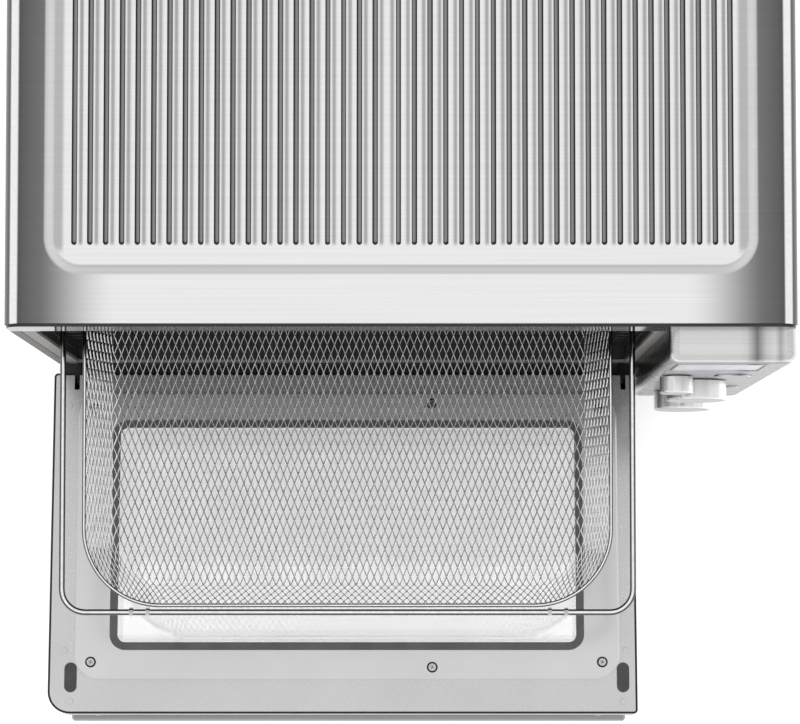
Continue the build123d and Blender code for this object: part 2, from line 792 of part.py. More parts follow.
# Door's raised inner plate: a shallow pan on the inner frame, with the gasket's hole
with BuildPart() as door_inner_plate:
    with BuildSketch(door_plane.offset(plate_face)):
        with Locations(((plate_left + plate_right) / 2, (plate_bottom + plate_top) / 2)):
            RectangleRounded(plate_right - plate_left, plate_top - plate_bottom, plate_corner)
    extrude(amount=plate_rise)
    across = Axis((0, hinge_y, hinge_z), door_plane.z_dir)
    raised_face = door_inner_plate.faces().filter_by(across).sort_by(Axis.Z)[-1]
    chamfer(raised_face.edges(), plate_edge)
    with BuildSketch(door_plane.offset(inner_face)):
        with Locations(((plate_left + plate_right) / 2, (plate_bottom + plate_top) / 2)):
            RectangleRounded(plate_right - plate_left - 2 * plate_overlap,
                             plate_top - plate_bottom - 2 * plate_overlap,
                             plate_corner - plate_overlap)
    extrude(amount=-(plate_rise - plate_sheet), mode=Mode.SUBTRACT)
    extrude(window(plate_face, trim_fit), amount=plate_rise, mode=Mode.SUBTRACT)
door_inner_plate.part.label = "door_inner_plate"
export_step(door_inner_plate.part, "parts/door_inner_plate.step")

# Gasket round the inner glass
gasket_face = plate_face - gasket_lip
with BuildPart() as window_gasket:
    extrude(window(gasket_face, 0), amount=gasket_depth)
    extrude(window(gasket_face, -gasket_band), amount=gasket_depth, mode=Mode.SUBTRACT)
window_gasket.part.label = "window_gasket"
export_step(window_gasket.part, "parts/window_gasket.step")

# Inner glass in the gasket, and outer glass behind the shell's hole
with BuildPart() as inner_glass:
    extrude(window(gasket_face + glass_drop, -gasket_band - trim_fit), amount=glass_thickness)
inner_glass.part.label = "inner_glass"
export_step(inner_glass.part, "parts/inner_glass.step")
with BuildPart() as outer_glass:
    extrude(window(door_outer - door_sheet, glass_overlap), amount=-glass_thickness)
outer_glass.part.label = "outer_glass"
export_step(outer_glass.part, "parts/outer_glass.step")

# Six door screws
with BuildPart() as door_screws:
    with BuildSketch(door_plane.offset(plate_face)):
        for rows in (screw_tip_rows, screw_hinge_rows):
            with Locations(*zip(screw_xs, rows)):
                Circle(screw_radius)
    extrude(amount=-screw_head, taper=30)
door_screws.part.label = "door_screws"
export_step(door_screws.part, "parts/door_screws.step")

# Door bumpers, dimples and rivets on the inner frame
with BuildPart() as door_bumpers:
    with BuildSketch(door_plane.offset(inner_face)):
        with Locations((bumper_left_x, bumper_row), (bumper_right_x, bumper_row)):
            SlotOverall(bumper_length, bumper_width, rotation=90)
    extrude(amount=-bumper_height)
door_bumpers.part.label = "door_bumpers"
export_step(door_bumpers.part, "parts/door_bumpers.step")
with BuildPart() as door_rivets:
    with BuildSketch(door_plane.offset(inner_face)):
        with Locations(*rivet_places):
            Circle(rivet_radius)
    extrude(amount=-rivet_rise, taper=30)
door_rivets.part.label = "door_rivets"
export_step(door_rivets.part, "parts/door_rivets.step")

# Hinge brackets on the front frame, each with an eye round its pin
frame_face = front - frame_thickness
with BuildPart() as hinge_brackets:
    for hinge_x in (hinge_left_x, hinge_right_x):
        with BuildSketch(Plane.YZ.offset(hinge_x)):
            with Locations((hinge_y, hinge_z)):
                Circle(eye_radius)
                Rectangle(frame_face - hinge_y, 2 * eye_radius, align=(Align.MIN, Align.CENTER))
                Circle(pin_radius + pin_fit, mode=Mode.SUBTRACT)
        extrude(amount=bracket_thickness / 2, both=True)
hinge_brackets.part.label = "hinge_brackets"
export_step(hinge_brackets.part, "parts/hinge_brackets.step")

# Hinge ears inside the door, one on each side of each bracket, and the pins through them
ear_offset = bracket_thickness / 2 + bracket_clearance
with BuildPart() as hinge_ears:
    for hinge_x in (hinge_left_x, hinge_right_x):
        for ear_x in (hinge_x - ear_offset - ear_thickness, hinge_x + ear_offset):
            with BuildSketch(door_section(ear_x)):
                with Locations(((door_bottom + door_sheet + hinge_slot_top) / 2,
                                (door_outer - door_sheet + inner_face + plate_sheet) / 2)):
                    Rectangle(hinge_slot_top - door_bottom - door_sheet,
                              door_outer - door_sheet - inner_face - plate_sheet)
                Circle(pin_radius, mode=Mode.SUBTRACT)
            extrude(amount=ear_thickness)
hinge_ears.part.label = "hinge_ears"
export_step(hinge_ears.part, "parts/hinge_ears.step")
with BuildPart() as hinge_pins:
    for hinge_x in (hinge_left_x, hinge_right_x):
        with BuildSketch(Plane.YZ.offset(hinge_x)):
            with Locations((hinge_y, hinge_z)):
                Circle(pin_radius)
        extrude(amount=ear_offset + ear_thickness + pin_end, both=True)
hinge_pins.part.label = "hinge_pins"
export_step(hinge_pins.part, "parts/hinge_pins.step")

# Handle bar and its two posts
bar_level = door_outer + handle_standoff
with BuildPart() as handle_bar:
    with BuildSketch(door_section(handle_left)):
        with Locations((handle_row, bar_level + handle_thickness / 2)):
            RectangleRounded(handle_height, handle_thickness, handle_round)
    extrude(amount=handle_right - handle_left)
    chamfer(handle_bar.faces().filter_by(Axis.X).edges(), handle_end)
handle_bar.part.label = "handle_bar"
export_step(handle_bar.part, "parts/handle_bar.step")
with BuildPart() as handle_posts:
    with BuildSketch(door_plane.offset(door_outer)):
        with Locations((handle_left + post_inset, handle_row),
                       (handle_right - post_inset, handle_row)):
            Circle(post_radius)
    extrude(amount=handle_standoff)
handle_posts.part.label = "handle_posts"
export_step(handle_posts.part, "parts/handle_posts.step")

# Basket's height follows from the rib that its carrier rests on
carrier_z = rack_first + basket_level * rack_pitch + seat + wire_radius
carrier_front = front + basket_closed_gap - basket_travel
carrier_mid = carrier_front + carrier_depth / 2
rim_depth = carrier_depth - rim_front - rim_back
rim_mid = carrier_front + rim_front + rim_depth / 2
mesh_top = carrier_z - rim_radius
mesh_floor = mesh_top - mesh_height
floor_width = rim_width - 2 * mesh_slope
floor_depth = rim_depth - 2 * mesh_slope


def wire_loop(middle_y, width, depth, corner, radius):
    """A closed round wire that runs as a rounded rectangle at the carrier's height."""
    left, right = cavity_x - width / 2, cavity_x + width / 2
    near, far = middle_y - depth / 2, middle_y + depth / 2
    with BuildPart() as loop:
        with BuildLine(Plane.XY.offset(carrier_z)) as route:
            FilletPolyline((left, near), (right, near), (right, far), (left, far),
                           radius=corner, close=True)
        with BuildSketch(Plane(origin=route.line @ 0, z_dir=route.line % 0)):
            Circle(radius)
        sweep()
    return loop.part


# Basket's carrier wire and rim wire
basket_carrier = wire_loop(carrier_mid, carrier_width, carrier_depth, carrier_corner, wire_radius)
basket_carrier.label = "basket_carrier"
export_step(basket_carrier, "parts/basket_carrier.step")
basket_rim = wire_loop(rim_mid, rim_width, rim_depth, rim_corner, rim_radius)
basket_rim.label = "basket_rim"
export_step(basket_rim, "parts/basket_rim.step")


def basket_bowl(inset):
    """The space inside the basket's walls, grown or shrunk evenly, as a loft."""
    with BuildPart() as bowl:
        with BuildSketch(Plane.XY.offset(mesh_floor)):
            with Locations((cavity_x, rim_mid)):
                RectangleRounded(floor_width - 2 * inset, floor_depth - 2 * inset,
                                 rim_corner - mesh_slope - inset)
        with BuildSketch(Plane.XY.offset(mesh_top)):
            with Locations((cavity_x, rim_mid)):
                RectangleRounded(rim_width - 2 * inset, rim_depth - 2 * inset,
                                 rim_corner - inset)
        loft(ruled=True)
    return bowl.part


def diamond(pitch_x, pitch_y, strand):
    """One gap of a net whose strands have this width."""
    half_x, half_y = pitch_x / 2, pitch_y / 2
    shrink = 1 - strand * hypot(half_x, half_y) / (2 * half_x * half_y)
    Polygon((-half_x * shrink, 0), (0, -half_y * shrink), (half_x * shrink, 0),
            (0, half_y * shrink), align=None)


# Mesh walls, with a row of gaps on each side
wall_z = (mesh_floor + mesh_top) / 2
wall_pitch_x = (rim_width - 2 * rim_corner) / wall_columns
wall_pitch_y = (rim_depth - 2 * rim_corner) / wall_rows
wall_gap_pitch = mesh_height - wall_margin
with BuildPart() as basket_walls:
    add(basket_bowl(-mesh_thickness / 2))
    add(basket_bowl(mesh_thickness / 2), mode=Mode.SUBTRACT)
    with BuildSketch(upright(rim_mid)):
        with Locations((cavity_x, wall_z)):
            with GridLocations(wall_pitch_x, wall_gap_pitch, wall_columns, 1):
                diamond(wall_pitch_x, wall_gap_pitch, mesh_strand)
    extrude(amount=rim_depth, both=True, mode=Mode.SUBTRACT)
    with BuildSketch(Plane.YZ.offset(cavity_x)):
        with Locations((rim_mid, wall_z)):
            with GridLocations(wall_pitch_y, wall_gap_pitch, wall_rows, 1):
                diamond(wall_pitch_y, wall_gap_pitch, mesh_strand)
    extrude(amount=rim_width, both=True, mode=Mode.SUBTRACT)
basket_walls.part.label = "basket_walls"
export_step(basket_walls.part, "parts/basket_walls.step")

# Mesh floor: one flat net, in two staggered sets of gaps
net_width = floor_width - 2 * mesh_margin
net_depth = floor_depth - 2 * mesh_margin
net_pitch_x = net_width / mesh_columns
net_pitch_y = net_depth / mesh_rows
with BuildPart() as basket_floor:
    with BuildSketch(Plane.XY.offset(mesh_floor - mesh_thickness)):
        with Locations((cavity_x, rim_mid)):
            RectangleRounded(floor_width + mesh_thickness, floor_depth + mesh_thickness,
                             rim_corner - mesh_slope + mesh_thickness / 2)
    extrude(amount=mesh_thickness)
    with BuildSketch(Plane.XY.offset(mesh_floor - mesh_thickness)):
        with Locations((cavity_x, rim_mid)):
            with GridLocations(net_pitch_x, net_pitch_y, mesh_columns, mesh_rows):
                diamond(net_pitch_x, net_pitch_y, mesh_strand)
            with GridLocations(net_pitch_x, net_pitch_y, mesh_columns - 1, mesh_rows - 1):
                diamond(net_pitch_x, net_pitch_y, mesh_strand)
    extrude(amount=mesh_thickness, mode=Mode.SUBTRACT)
basket_floor.part.label = "basket_floor"
export_step(basket_floor.part, "parts/basket_floor.step")

# Clips that join the rim to the carrier's front and back wires
with BuildPart() as basket_clips:
    for pair_x in clip_pairs:
        for clip_x in (cavity_x + pair_x - clip_spread, cavity_x + pair_x + clip_spread):
            for wire_y, inward in ((carrier_front, 1), (carrier_front + carrier_depth, -1)):
                with BuildSketch(Plane.YZ.offset(clip_x)):
                    with Locations((wire_y, carrier_z)):
                        Circle(wire_radius + clip_thickness)
                        with Locations((inward * (rim_front - rim_radius) / 2, 0)):
                            Rectangle(rim_front - rim_radius, 2 * clip_thickness)
                        Circle(wire_radius, mode=Mode.SUBTRACT)
                extrude(amount=clip_width / 2, both=True)
basket_clips.part.label = "basket_clips"
export_step(basket_clips.part, "parts/basket_clips.step")

# Control fascia: a hollow cap with rounded front edges, and its base against the front frame
fascia_height = fascia_top - fascia_bottom
fascia_x = fascia_left + fascia_width / 2
fascia_z = fascia_bottom + fascia_height / 2
fascia_face = front - fascia_depth
fascia_inside = fascia_face + fascia_wall
fascia_back = front - fascia_seam


def fascia_outline(y, inset):
    """The fascia's outline, drawn in from its edge by the inset."""
    with BuildSketch(upright(y)) as outline:
        with Locations((fascia_x, fascia_z)):
            RectangleRounded(fascia_width - 2 * inset, fascia_height - 2 * inset,
                             fascia_round - inset)
    return outline.sketch


def at_controls(y, places):
    """Circles on an upright plane, each from its place and radius."""
    with BuildSketch(upright(y)) as circles:
        for x, z, radius in places:
            with Locations((x, z)):
                Circle(radius)
    return circles.sketch


knob_places = ((small_knob_x, small_knob_z), (knob_x, middle_knob_z), (knob_x, lower_knob_z))
button_places = ((round_button_x, round_button_z, round_button_radius),
                 (small_button_x, small_button_z, small_button_radius))
shaft_hole = spindle_radius + spindle_hole_clearance
with BuildPart() as control_fascia:
    extrude(fascia_outline(fascia_face, 0), amount=-(fascia_depth - fascia_seam))
    fillet(control_fascia.faces().sort_by(Axis.Y)[0].edges(), fascia_edge)
    offset(amount=-fascia_wall, openings=control_fascia.faces().sort_by(Axis.Y)[-1])
    shaft_holes = at_controls(fascia_face, ((x, z, shaft_hole) for x, z in knob_places))
    extrude(shaft_holes, amount=-fascia_wall, mode=Mode.SUBTRACT)
    button_holes = at_controls(
        fascia_face, ((x, z, radius + button_fit) for x, z, radius in button_places))
    extrude(button_holes, amount=-fascia_wall, mode=Mode.SUBTRACT)
    with BuildSketch(upright(fascia_face)):
        with Locations((display_x, display_z)):
            RectangleRounded(display_width, display_height, display_corner)
    extrude(amount=-fascia_wall, mode=Mode.SUBTRACT)
control_fascia.part.label = "control_fascia"
export_step(control_fascia.part, "parts/control_fascia.step")
with BuildPart() as fascia_base:
    extrude(fascia_outline(fascia_back, seam_inset), amount=-(fascia_seam - frame_thickness))
    extrude(fascia_outline(fascia_back, seam_inset + fascia_wall),
            amount=-(fascia_seam - frame_thickness), mode=Mode.SUBTRACT)
fascia_base.part.label = "fascia_base"
export_step(fascia_base.part, "parts/fascia_base.step")

# Display: glass in the fascia's hole, a thin bezel round it and the module behind
with BuildPart() as display_window:
    with BuildSketch(upright(fascia_face)):
        with Locations((display_x, display_z)):
            RectangleRounded(display_width - 2 * trim_fit, display_height - 2 * trim_fit,
                             display_corner - trim_fit)
    extrude(amount=-window_thickness)
display_window.part.label = "display_window"
export_step(display_window.part, "parts/display_window.step")
with BuildPart() as display_bezel:
    with BuildSketch(upright(fascia_face - bezel_rise)):
        with Locations((display_x, display_z)):
            rounded_frame(display_width + 2 * bezel_band, display_height + 2 * bezel_band,
                          display_corner + bezel_band, bezel_band)
    extrude(amount=-bezel_rise)
display_bezel.part.label = "display_bezel"
export_step(display_bezel.part, "parts/display_bezel.step")
board_back = front - board_ahead
board_front = board_back - board_thickness
with BuildPart() as display_module:
    block((display_x - display_width / 2, display_x + display_width / 2),
          (fascia_inside, board_front),
          (display_z - display_height / 2 - module_margin,
           display_z + display_height / 2 + module_margin))
display_module.part.label = "display_module"
export_step(display_module.part, "parts/display_module.step")

# Control board inside the fascia's base, with its encoders and switches
with BuildPart() as control_board:
    extrude(fascia_outline(board_front, seam_inset + fascia_wall + seat),
            amount=-board_thickness)
control_board.part.label = "control_board"
export_step(control_board.part, "parts/control_board.step")
encoder_front = board_front - encoder_depth
with BuildPart() as knob_encoders:
    with BuildSketch(upright(encoder_front)):
        with Locations(*knob_places):
            Rectangle(encoder_side, encoder_side)
    extrude(amount=-encoder_depth)
    spindle_bores = at_controls(
        encoder_front, ((x, z, spindle_radius + spindle_fit) for x, z in knob_places))
    extrude(spindle_bores, amount=-(encoder_depth - encoder_floor), mode=Mode.SUBTRACT)
knob_encoders.part.label = "knob_encoders"
export_step(knob_encoders.part, "parts/knob_encoders.step")
switch_front = board_front - switch_height
with BuildPart() as button_switches:
    with BuildSketch(upright(switch_front)):
        with Locations(*((x, z) for x, z, radius in button_places)):
            Rectangle(switch_side, switch_side)
    extrude(amount=-switch_height)
button_switches.part.label = "button_switches"
export_step(button_switches.part, "parts/button_switches.step")

# Three knobs, each with the spindle that turns with it
knob_back = fascia_face - knob_gap
knob_names = ("upper", "middle", "lower")
knob_sizes = ((small_knob_radius, small_knob_depth), (knob_radius, knob_depth),
              (knob_radius, knob_depth))
for name, (x, z), (radius, depth) in zip(knob_names, knob_places, knob_sizes):
    with BuildPart() as knob:
        extrude(at_controls(knob_back - depth, [(x, z, radius)]), amount=-depth)
        fillet(knob.faces().sort_by(Axis.Y)[0].edges(), knob_edge)
        hollow = at_controls(knob_back, [(x, z, radius - knob_wall)])
        extrude(hollow, amount=depth - knob_wall, mode=Mode.SUBTRACT)
        extrude(at_controls(knob_back, [(x, z, spindle_radius + knob_wall)]), amount=depth - knob_wall)
        bore = at_controls(knob_back, [(x, z, spindle_radius)])
        extrude(bore, amount=depth - 2 * knob_wall, mode=Mode.SUBTRACT)
    knob.part.label = f"{name}_knob"
    export_step(knob.part, f"parts/{name}_knob.step")
    spindle_front = knob_back - depth + 2 * knob_wall
    spindle_end = board_front - encoder_floor - seat
    with BuildPart() as spindle:
        extrude(at_controls(spindle_front, [(x, z, spindle_radius)]),
                amount=-(spindle_end - spindle_front))
    spindle.part.label = f"{name}_spindle"
    export_step(spindle.part, f"parts/{name}_spindle.step")

# Two buttons: a cap in the fascia's hole, a flange behind the wall and a stem to the switch
flange_front = fascia_inside + seat
for name, (x, z, radius) in zip(("round", "small"), button_places):
    with BuildPart() as button:
        extrude(at_controls(fascia_face - button_rise, [(x, z, radius)]),
                amount=-(flange_front - fascia_face + button_rise))
        fillet(button.faces().sort_by(Axis.Y)[0].edges(), button_edge)
        extrude(at_controls(flange_front, [(x, z, radius + button_flange)]),
                amount=-button_flange_depth)
        stem_end = switch_front - button_travel - seat
        extrude(at_controls(flange_front, [(x, z, button_stem)]),
                amount=-(stem_end - flange_front))
    button.part.label = f"{name}_button"
    export_step(button.part, f"parts/{name}_button.step")
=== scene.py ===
"""Looks of the countertop air fryer oven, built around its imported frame."""

import json
import math

import bpy
import numpy as np
from mathutils import Matrix, Vector


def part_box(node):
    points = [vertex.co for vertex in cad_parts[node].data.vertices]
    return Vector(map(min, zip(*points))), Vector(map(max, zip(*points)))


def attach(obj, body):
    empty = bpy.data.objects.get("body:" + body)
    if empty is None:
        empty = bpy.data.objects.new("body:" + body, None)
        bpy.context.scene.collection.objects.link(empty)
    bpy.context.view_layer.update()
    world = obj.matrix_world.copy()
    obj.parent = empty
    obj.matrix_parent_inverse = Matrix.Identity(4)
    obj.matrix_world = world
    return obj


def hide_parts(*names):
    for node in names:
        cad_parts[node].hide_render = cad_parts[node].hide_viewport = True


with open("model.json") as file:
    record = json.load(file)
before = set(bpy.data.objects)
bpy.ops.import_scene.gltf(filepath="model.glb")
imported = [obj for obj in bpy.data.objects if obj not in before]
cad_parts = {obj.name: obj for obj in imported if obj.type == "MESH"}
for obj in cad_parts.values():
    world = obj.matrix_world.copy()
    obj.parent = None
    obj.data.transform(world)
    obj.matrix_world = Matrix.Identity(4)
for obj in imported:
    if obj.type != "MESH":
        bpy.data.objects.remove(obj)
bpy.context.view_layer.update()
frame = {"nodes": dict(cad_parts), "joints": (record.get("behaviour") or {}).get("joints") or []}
nodes = frame["nodes"]
scene = bpy.context.scene
MM = 0.001

# Places read from the frame, in metres
cover_low, cover_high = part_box("outer_cover")
hinge = next(j for j in frame["joints"] if j["name"] == "door_hinge")
hinge_point = Vector(hinge["pos_m"])
DOOR_OPEN = math.radians(84)
DOOR_UP = Vector((0, -math.sin(DOOR_OPEN), math.cos(DOOR_OPEN)))      # along the door, to its tip
DOOR_IN = Vector((0, math.cos(DOOR_OPEN), math.sin(DOOR_OPEN)))       # out of its inner face

# Camera, high above the open door: a small tilt, and a shift for the rest of the framing
CAMERA_PLACE = (0.0, -0.228, 1.96)
CAMERA_TILT = math.radians(2.703)
CAMERA_LENS = 108.8
CAMERA_SHIFT = (-0.0013, 0.14)
camera_data = bpy.data.cameras.new("camera")
camera = bpy.data.objects.new("camera", camera_data)
scene.collection.objects.link(camera)
camera.location = CAMERA_PLACE
camera.rotation_euler = (CAMERA_TILT, 0, 0)
camera_data.sensor_width = 36
camera_data.lens = CAMERA_LENS
camera_data.shift_x, camera_data.shift_y = CAMERA_SHIFT
camera_data.clip_start = 0.05
camera_data.clip_end = 50
scene.camera = camera


# Node material helpers
class Shader:
    """A node material with a Principled shader, and short ways to add nodes to it."""

    def __init__(self, name, colour, roughness, metallic=0.0, **sockets):
        self.material = bpy.data.materials.new(name)
        self.material.use_nodes = True
        self.tree = self.material.node_tree
        self.main = self.tree.nodes["Principled BSDF"]
        self.main.inputs["Base Color"].default_value = (*colour, 1)
        self.main.inputs["Roughness"].default_value = roughness
        self.main.inputs["Metallic"].default_value = metallic
        for socket, value in sockets.items():
            self.main.inputs[socket.replace("_", " ")].default_value = value

    def node(self, kind, **values):
        made = self.tree.nodes.new(kind)
        for key, value in values.items():
            if key in made.inputs:
                made.inputs[key].default_value = value
            else:
                setattr(made, key, value)
        return made

    def link(self, source, target):
        self.tree.links.new(source, target)

    def noise(self, scale, detail=3.0, roughness=0.6):
        """Noise over object coordinates in metres, times a scale along each axis."""
        place = self.node("ShaderNodeTexCoord")
        mapping = self.node("ShaderNodeMapping")
        mapping.inputs["Scale"].default_value = scale
        self.link(place.outputs["Object"], mapping.inputs["Vector"])
        texture = self.node("ShaderNodeTexNoise", Detail=detail, Roughness=roughness, Scale=1.0)
        self.link(mapping.outputs["Vector"], texture.inputs["Vector"])
        return texture.outputs["Fac"]

    def spread(self, factor, low, high, start=0.3, end=0.7):
        """The factor stretched from one range to another, as a number."""
        span = self.node("ShaderNodeMapRange")
        for socket, value in (("From Min", start), ("From Max", end),
                              ("To Min", low), ("To Max", high)):
            span.inputs[socket].default_value = value
        self.link(factor, span.inputs["Value"])
        return span.outputs["Result"]

    def ramp(self, factor, *stops):
        """The factor as a colour, from stops of place and colour."""
        made = self.node("ShaderNodeValToRGB")
        elements = made.color_ramp.elements
        while len(elements) < len(stops):
            elements.new(0.5)
        for element, (place, colour) in zip(elements, stops):
            element.position = place
            element.color = (*colour, 1)
        self.link(factor, made.inputs["Fac"])
        return made.outputs["Color"]

    def attribute(self, name):
        return self.node("ShaderNodeAttribute", attribute_name=name).outputs["Fac"]

    def times(self, colour, factor):
        """The colour darkened by a factor."""
        mixed = self.node("ShaderNodeMix", data_type="RGBA", blend_type="MULTIPLY")
        mixed.inputs[0].default_value = 1.0
        self.link(colour, mixed.inputs[6])
        self.link(factor, mixed.inputs[7])
        return mixed.outputs[2]

    def blend(self, factor, first, second):
        """Two numbers mixed by a factor."""
        mixed = self.node("ShaderNodeMix", data_type="FLOAT")
        self.link(factor, mixed.inputs[0])
        self.link(first, mixed.inputs[2])
        self.link(second, mixed.inputs[3])
        return mixed.outputs[0]

    def along_axes(self, kind="Object"):
        """The object coordinates or the normal, as outputs X, Y and Z."""
        place = self.node("ShaderNodeTexCoord")
        parts = self.node("ShaderNodeSeparateXYZ")
        self.link(place.outputs[kind], parts.inputs["Vector"])
        return parts

    def side_facing(self):
        """How far the surface faces left or right, from 0 to 1."""
        parts = self.along_axes("Normal")
        size = self.node("ShaderNodeMath", operation="ABSOLUTE")
        self.link(parts.outputs["X"], size.inputs[0])
        return self.spread(size.outputs[0], 0, 1, 0.55, 0.75)

    def facing(self, direction, start=0.8, end=0.95):
        """How far the surface faces this way in the part's own axes, from 0 to 1."""
        place = self.node("ShaderNodeTexCoord")
        dot = self.node("ShaderNodeVectorMath", operation="DOT_PRODUCT")
        self.link(place.outputs["Normal"], dot.inputs[0])
        dot.inputs[1].default_value = direction
        return self.spread(dot.outputs["Value"], 0, 1, start, end)

    def shade(self, colour, factor, low):
        """The colour darkened, down to low where the factor is 1."""
        return self.times(colour, self.spread(factor, 1, low, 0, 1))

    def bump(self, factor, strength, distance):
        made = self.node("ShaderNodeBump", Strength=strength, Distance=distance)
        self.link(factor, made.inputs["Height"])
        self.link(made.outputs["Normal"], self.main.inputs["Normal"])

    def paint(self, colour):
        self.link(colour, self.main.inputs["Base Color"])

    def gloss(self, number):
        self.link(number, self.main.inputs["Roughness"])


LEFT, FRONT, UP = (-1, 0, 0), (0, -1, 0), (0, 0, 1)


def grey(value, warm=0.0):
    """A grey in linear light, a little redder or bluer where it is warm or cold."""
    return (value * (1 + warm), value, value * (1 - warm))


def with_dark_band(shader, colour):
    """The colour with the fascia's dark reflected bands across its upward faces."""
    band_left, band_right = 0.232, 0.272
    across = shader.spread(shader.along_axes().outputs["X"], 0, 1, band_left, band_right)
    dim = shader.ramp(across, (0.0, grey(1)), (0.12, grey(0.92)), (0.30, grey(0.30)),
                      (0.46, grey(0.85)), (0.60, grey(1)), (0.70, grey(0.6)),
                      (0.80, grey(1)), (1.0, grey(0.75)))
    mixed = shader.node("ShaderNodeMix", data_type="RGBA")
    shader.link(shader.facing(UP, 0.3, 0.8), mixed.inputs[0])
    mixed.inputs[6].default_value = (1, 1, 1, 1)
    shader.link(dim, mixed.inputs[7])
    return shader.times(colour, mixed.outputs[2])


def brushed(name, low, high, roughness, along="x", painted_light=False, painted_face_shades=(), strength=0.03,
            band=False, dull=False):
    """Brushed steel: fine streaks along one axis, and along Y where it faces left or right."""
    shader = Shader(name, grey(high), roughness, 1.0, Specular_IOR_Level=0.1)
    if dull:
        metal = shader.spread(shader.facing(FRONT), 1, 0, 0, 1)
        shader.link(metal, shader.main.inputs["Metallic"])
    fine_streaks = {"x": (5, 900, 900), "y": (900, 5, 900)}
    broad_streaks = {"x": (3, 420, 420), "y": (420, 3, 420)}
    side = shader.side_facing()
    fine = shader.blend(side, shader.noise(fine_streaks[along]), shader.noise(fine_streaks["y"]))
    broad = shader.blend(side, shader.noise(broad_streaks[along]),
                         shader.noise(broad_streaks["y"]))
    both = shader.blend(shader.spread(broad, 0.35, 0.65), fine, broad)
    colour = shader.ramp(both, (0.3, grey(low)), (0.7, grey(high)))
    # The cover's painted shade and painted reflections, read from its mesh attribute.
    if painted_light:
        colour = shader.times(colour, shader.attribute("painted_light"))
    if band:
        colour = with_dark_band(shader, colour)
    # Painted shade: faces that turn the given ways are darkened.
    for direction, darkest in painted_face_shades:
        colour = shader.shade(colour, shader.facing(direction), darkest)
    shader.paint(colour)
    shader.gloss(shader.spread(both, roughness - 0.03, roughness + 0.04))
    shader.bump(fine, strength, 0.0001)
    return shader.material


def satin(name, low, high, roughness, metallic=1.0, scale=(60, 60, 60), strength=0.05):
    """Satin sheet or cast metal with a fine even grain and slow cloudy changes."""
    shader = Shader(name, grey(high), roughness, metallic)
    grain = shader.noise((1400, 1400, 1400), 2)
    cloud = shader.noise(scale, 4)
    shader.paint(shader.ramp(cloud, (0.3, grey(low)), (0.7, grey(high))))
    shader.gloss(shader.spread(grain, roughness - 0.06, roughness + 0.06))
    shader.bump(grain, strength, 0.0002)
    return shader.material


def plastic(name, colour, roughness, strength=0.1, grain=1800):
    """Moulded plastic or rubber with a fine leathered skin."""
    shader = Shader(name, colour, roughness)
    skin = shader.noise((grain, grain, grain), 2)
    darker = tuple(c * 0.8 for c in colour)
    lighter = tuple(min(1, c * 1.15) for c in colour)
    shader.paint(shader.ramp(shader.noise((45, 45, 45), 3), (0.3, darker), (0.7, lighter)))
    shader.gloss(shader.spread(skin, roughness - 0.05, roughness + 0.08))
    shader.bump(skin, strength, 0.0002)
    return shader.material


def polished(name, low, high, roughness, warm=0.0, rim=False):
    """Chrome plate, nearly a mirror, with faint marks and, on a wire, a painted dark, slightly warm
    reflection on its flanks.
    """
    shader = Shader(name, grey(high, warm), roughness, 1.0)
    marks = shader.noise((260, 260, 260), 4)
    colour = shader.ramp(marks, (0.35, grey(low, warm)), (0.65, grey(high, warm)))
    if rim:
        # Painted reflection: dark, slightly warm flanks where the wire turns away from the view.
        painted_flank_reflection = shader.node("ShaderNodeLayerWeight", Blend=0.5)
        colour = shader.times(colour, shader.ramp(
            painted_flank_reflection.outputs["Facing"], (0.0, grey(1)), (0.06, grey(0.92)), (0.11, grey(0.12, 0.1)),
            (0.6, grey(0.07, 0.1)), (1.0, grey(0.3))))
    shader.paint(colour)
    shader.gloss(shader.spread(marks, roughness * 0.6, roughness * 1.6))
    shader.bump(marks, 0.03, 0.0002)
    return shader.material


def front_trim():
    """The front frame: a dull rim and face parted by a thin near-black line of painted shade for a
    recess, and a mirror top rail.
    """
    half_width, top, reach_width, rail_bottom = 0.271, 0.321, 0.02, 0.290
    shader = Shader("front_trim", grey(0.3), 0.45, 0.0, Specular_IOR_Level=0.15)
    parts = shader.along_axes()
    side = shader.node("ShaderNodeMath", operation="ABSOLUTE")
    shader.link(parts.outputs["X"], side.inputs[0])
    from_side = shader.spread(side.outputs[0], reach_width, 0, half_width - reach_width, half_width)
    from_top = shader.spread(parts.outputs["Z"], reach_width, 0, top - reach_width, top)
    nearest = shader.node("ShaderNodeMath", operation="MINIMUM")
    shader.link(from_side, nearest.inputs[0])
    shader.link(from_top, nearest.inputs[1])
    reach = shader.spread(nearest.outputs[0], 0, 1, 0, reach_width)
    # The recess colour is painted shade: a thin near-black line between rim and face.
    rim, face, painted_recess_shade = (0.120, 0.112, 0.106), (0.25, 0.24, 0.23), grey(0.012)
    colour = shader.ramp(reach, (0.0, rim), (0.33, rim), (0.35, painted_recess_shade), (0.40, painted_recess_shade),
                         (0.42, face), (1.0, face))
    rail = shader.spread(parts.outputs["Z"], 0, 1, rail_bottom, rail_bottom + 0.003)
    shader.paint(shader.shade(colour, rail, 0.45))
    shader.link(rail, shader.main.inputs["Metallic"])
    shader.gloss(shader.spread(rail, 0.45, 0.07, 0, 1))
    shader.bump(shader.noise((900, 900, 900), 2), 0.02, 0.0001)
    return shader.material


def glass(name, colour, roughness, tint):
    """Clear glass with a faint smear in its tint and roughness."""
    shader = Shader(name, colour, roughness, IOR=1.5, Transmission_Weight=1.0)
    smear = shader.noise((35, 35, 35), 4)
    shader.paint(shader.ramp(smear, (0.3, tint), (0.7, colour)))
    shader.gloss(shader.spread(smear, roughness, roughness + 0.04))
    return shader.material


def display():
    """The display window, in soft lilac bands."""
    shader = Shader("display_cover", (0.55, 0.54, 0.63), 0.3, Coat_Weight=0.1)
    shader.paint(shader.ramp(shader.noise((60, 6, 6), 1),
                             (0.35, (0.40, 0.39, 0.50)), (0.65, (0.60, 0.59, 0.68))))
    return shader.material


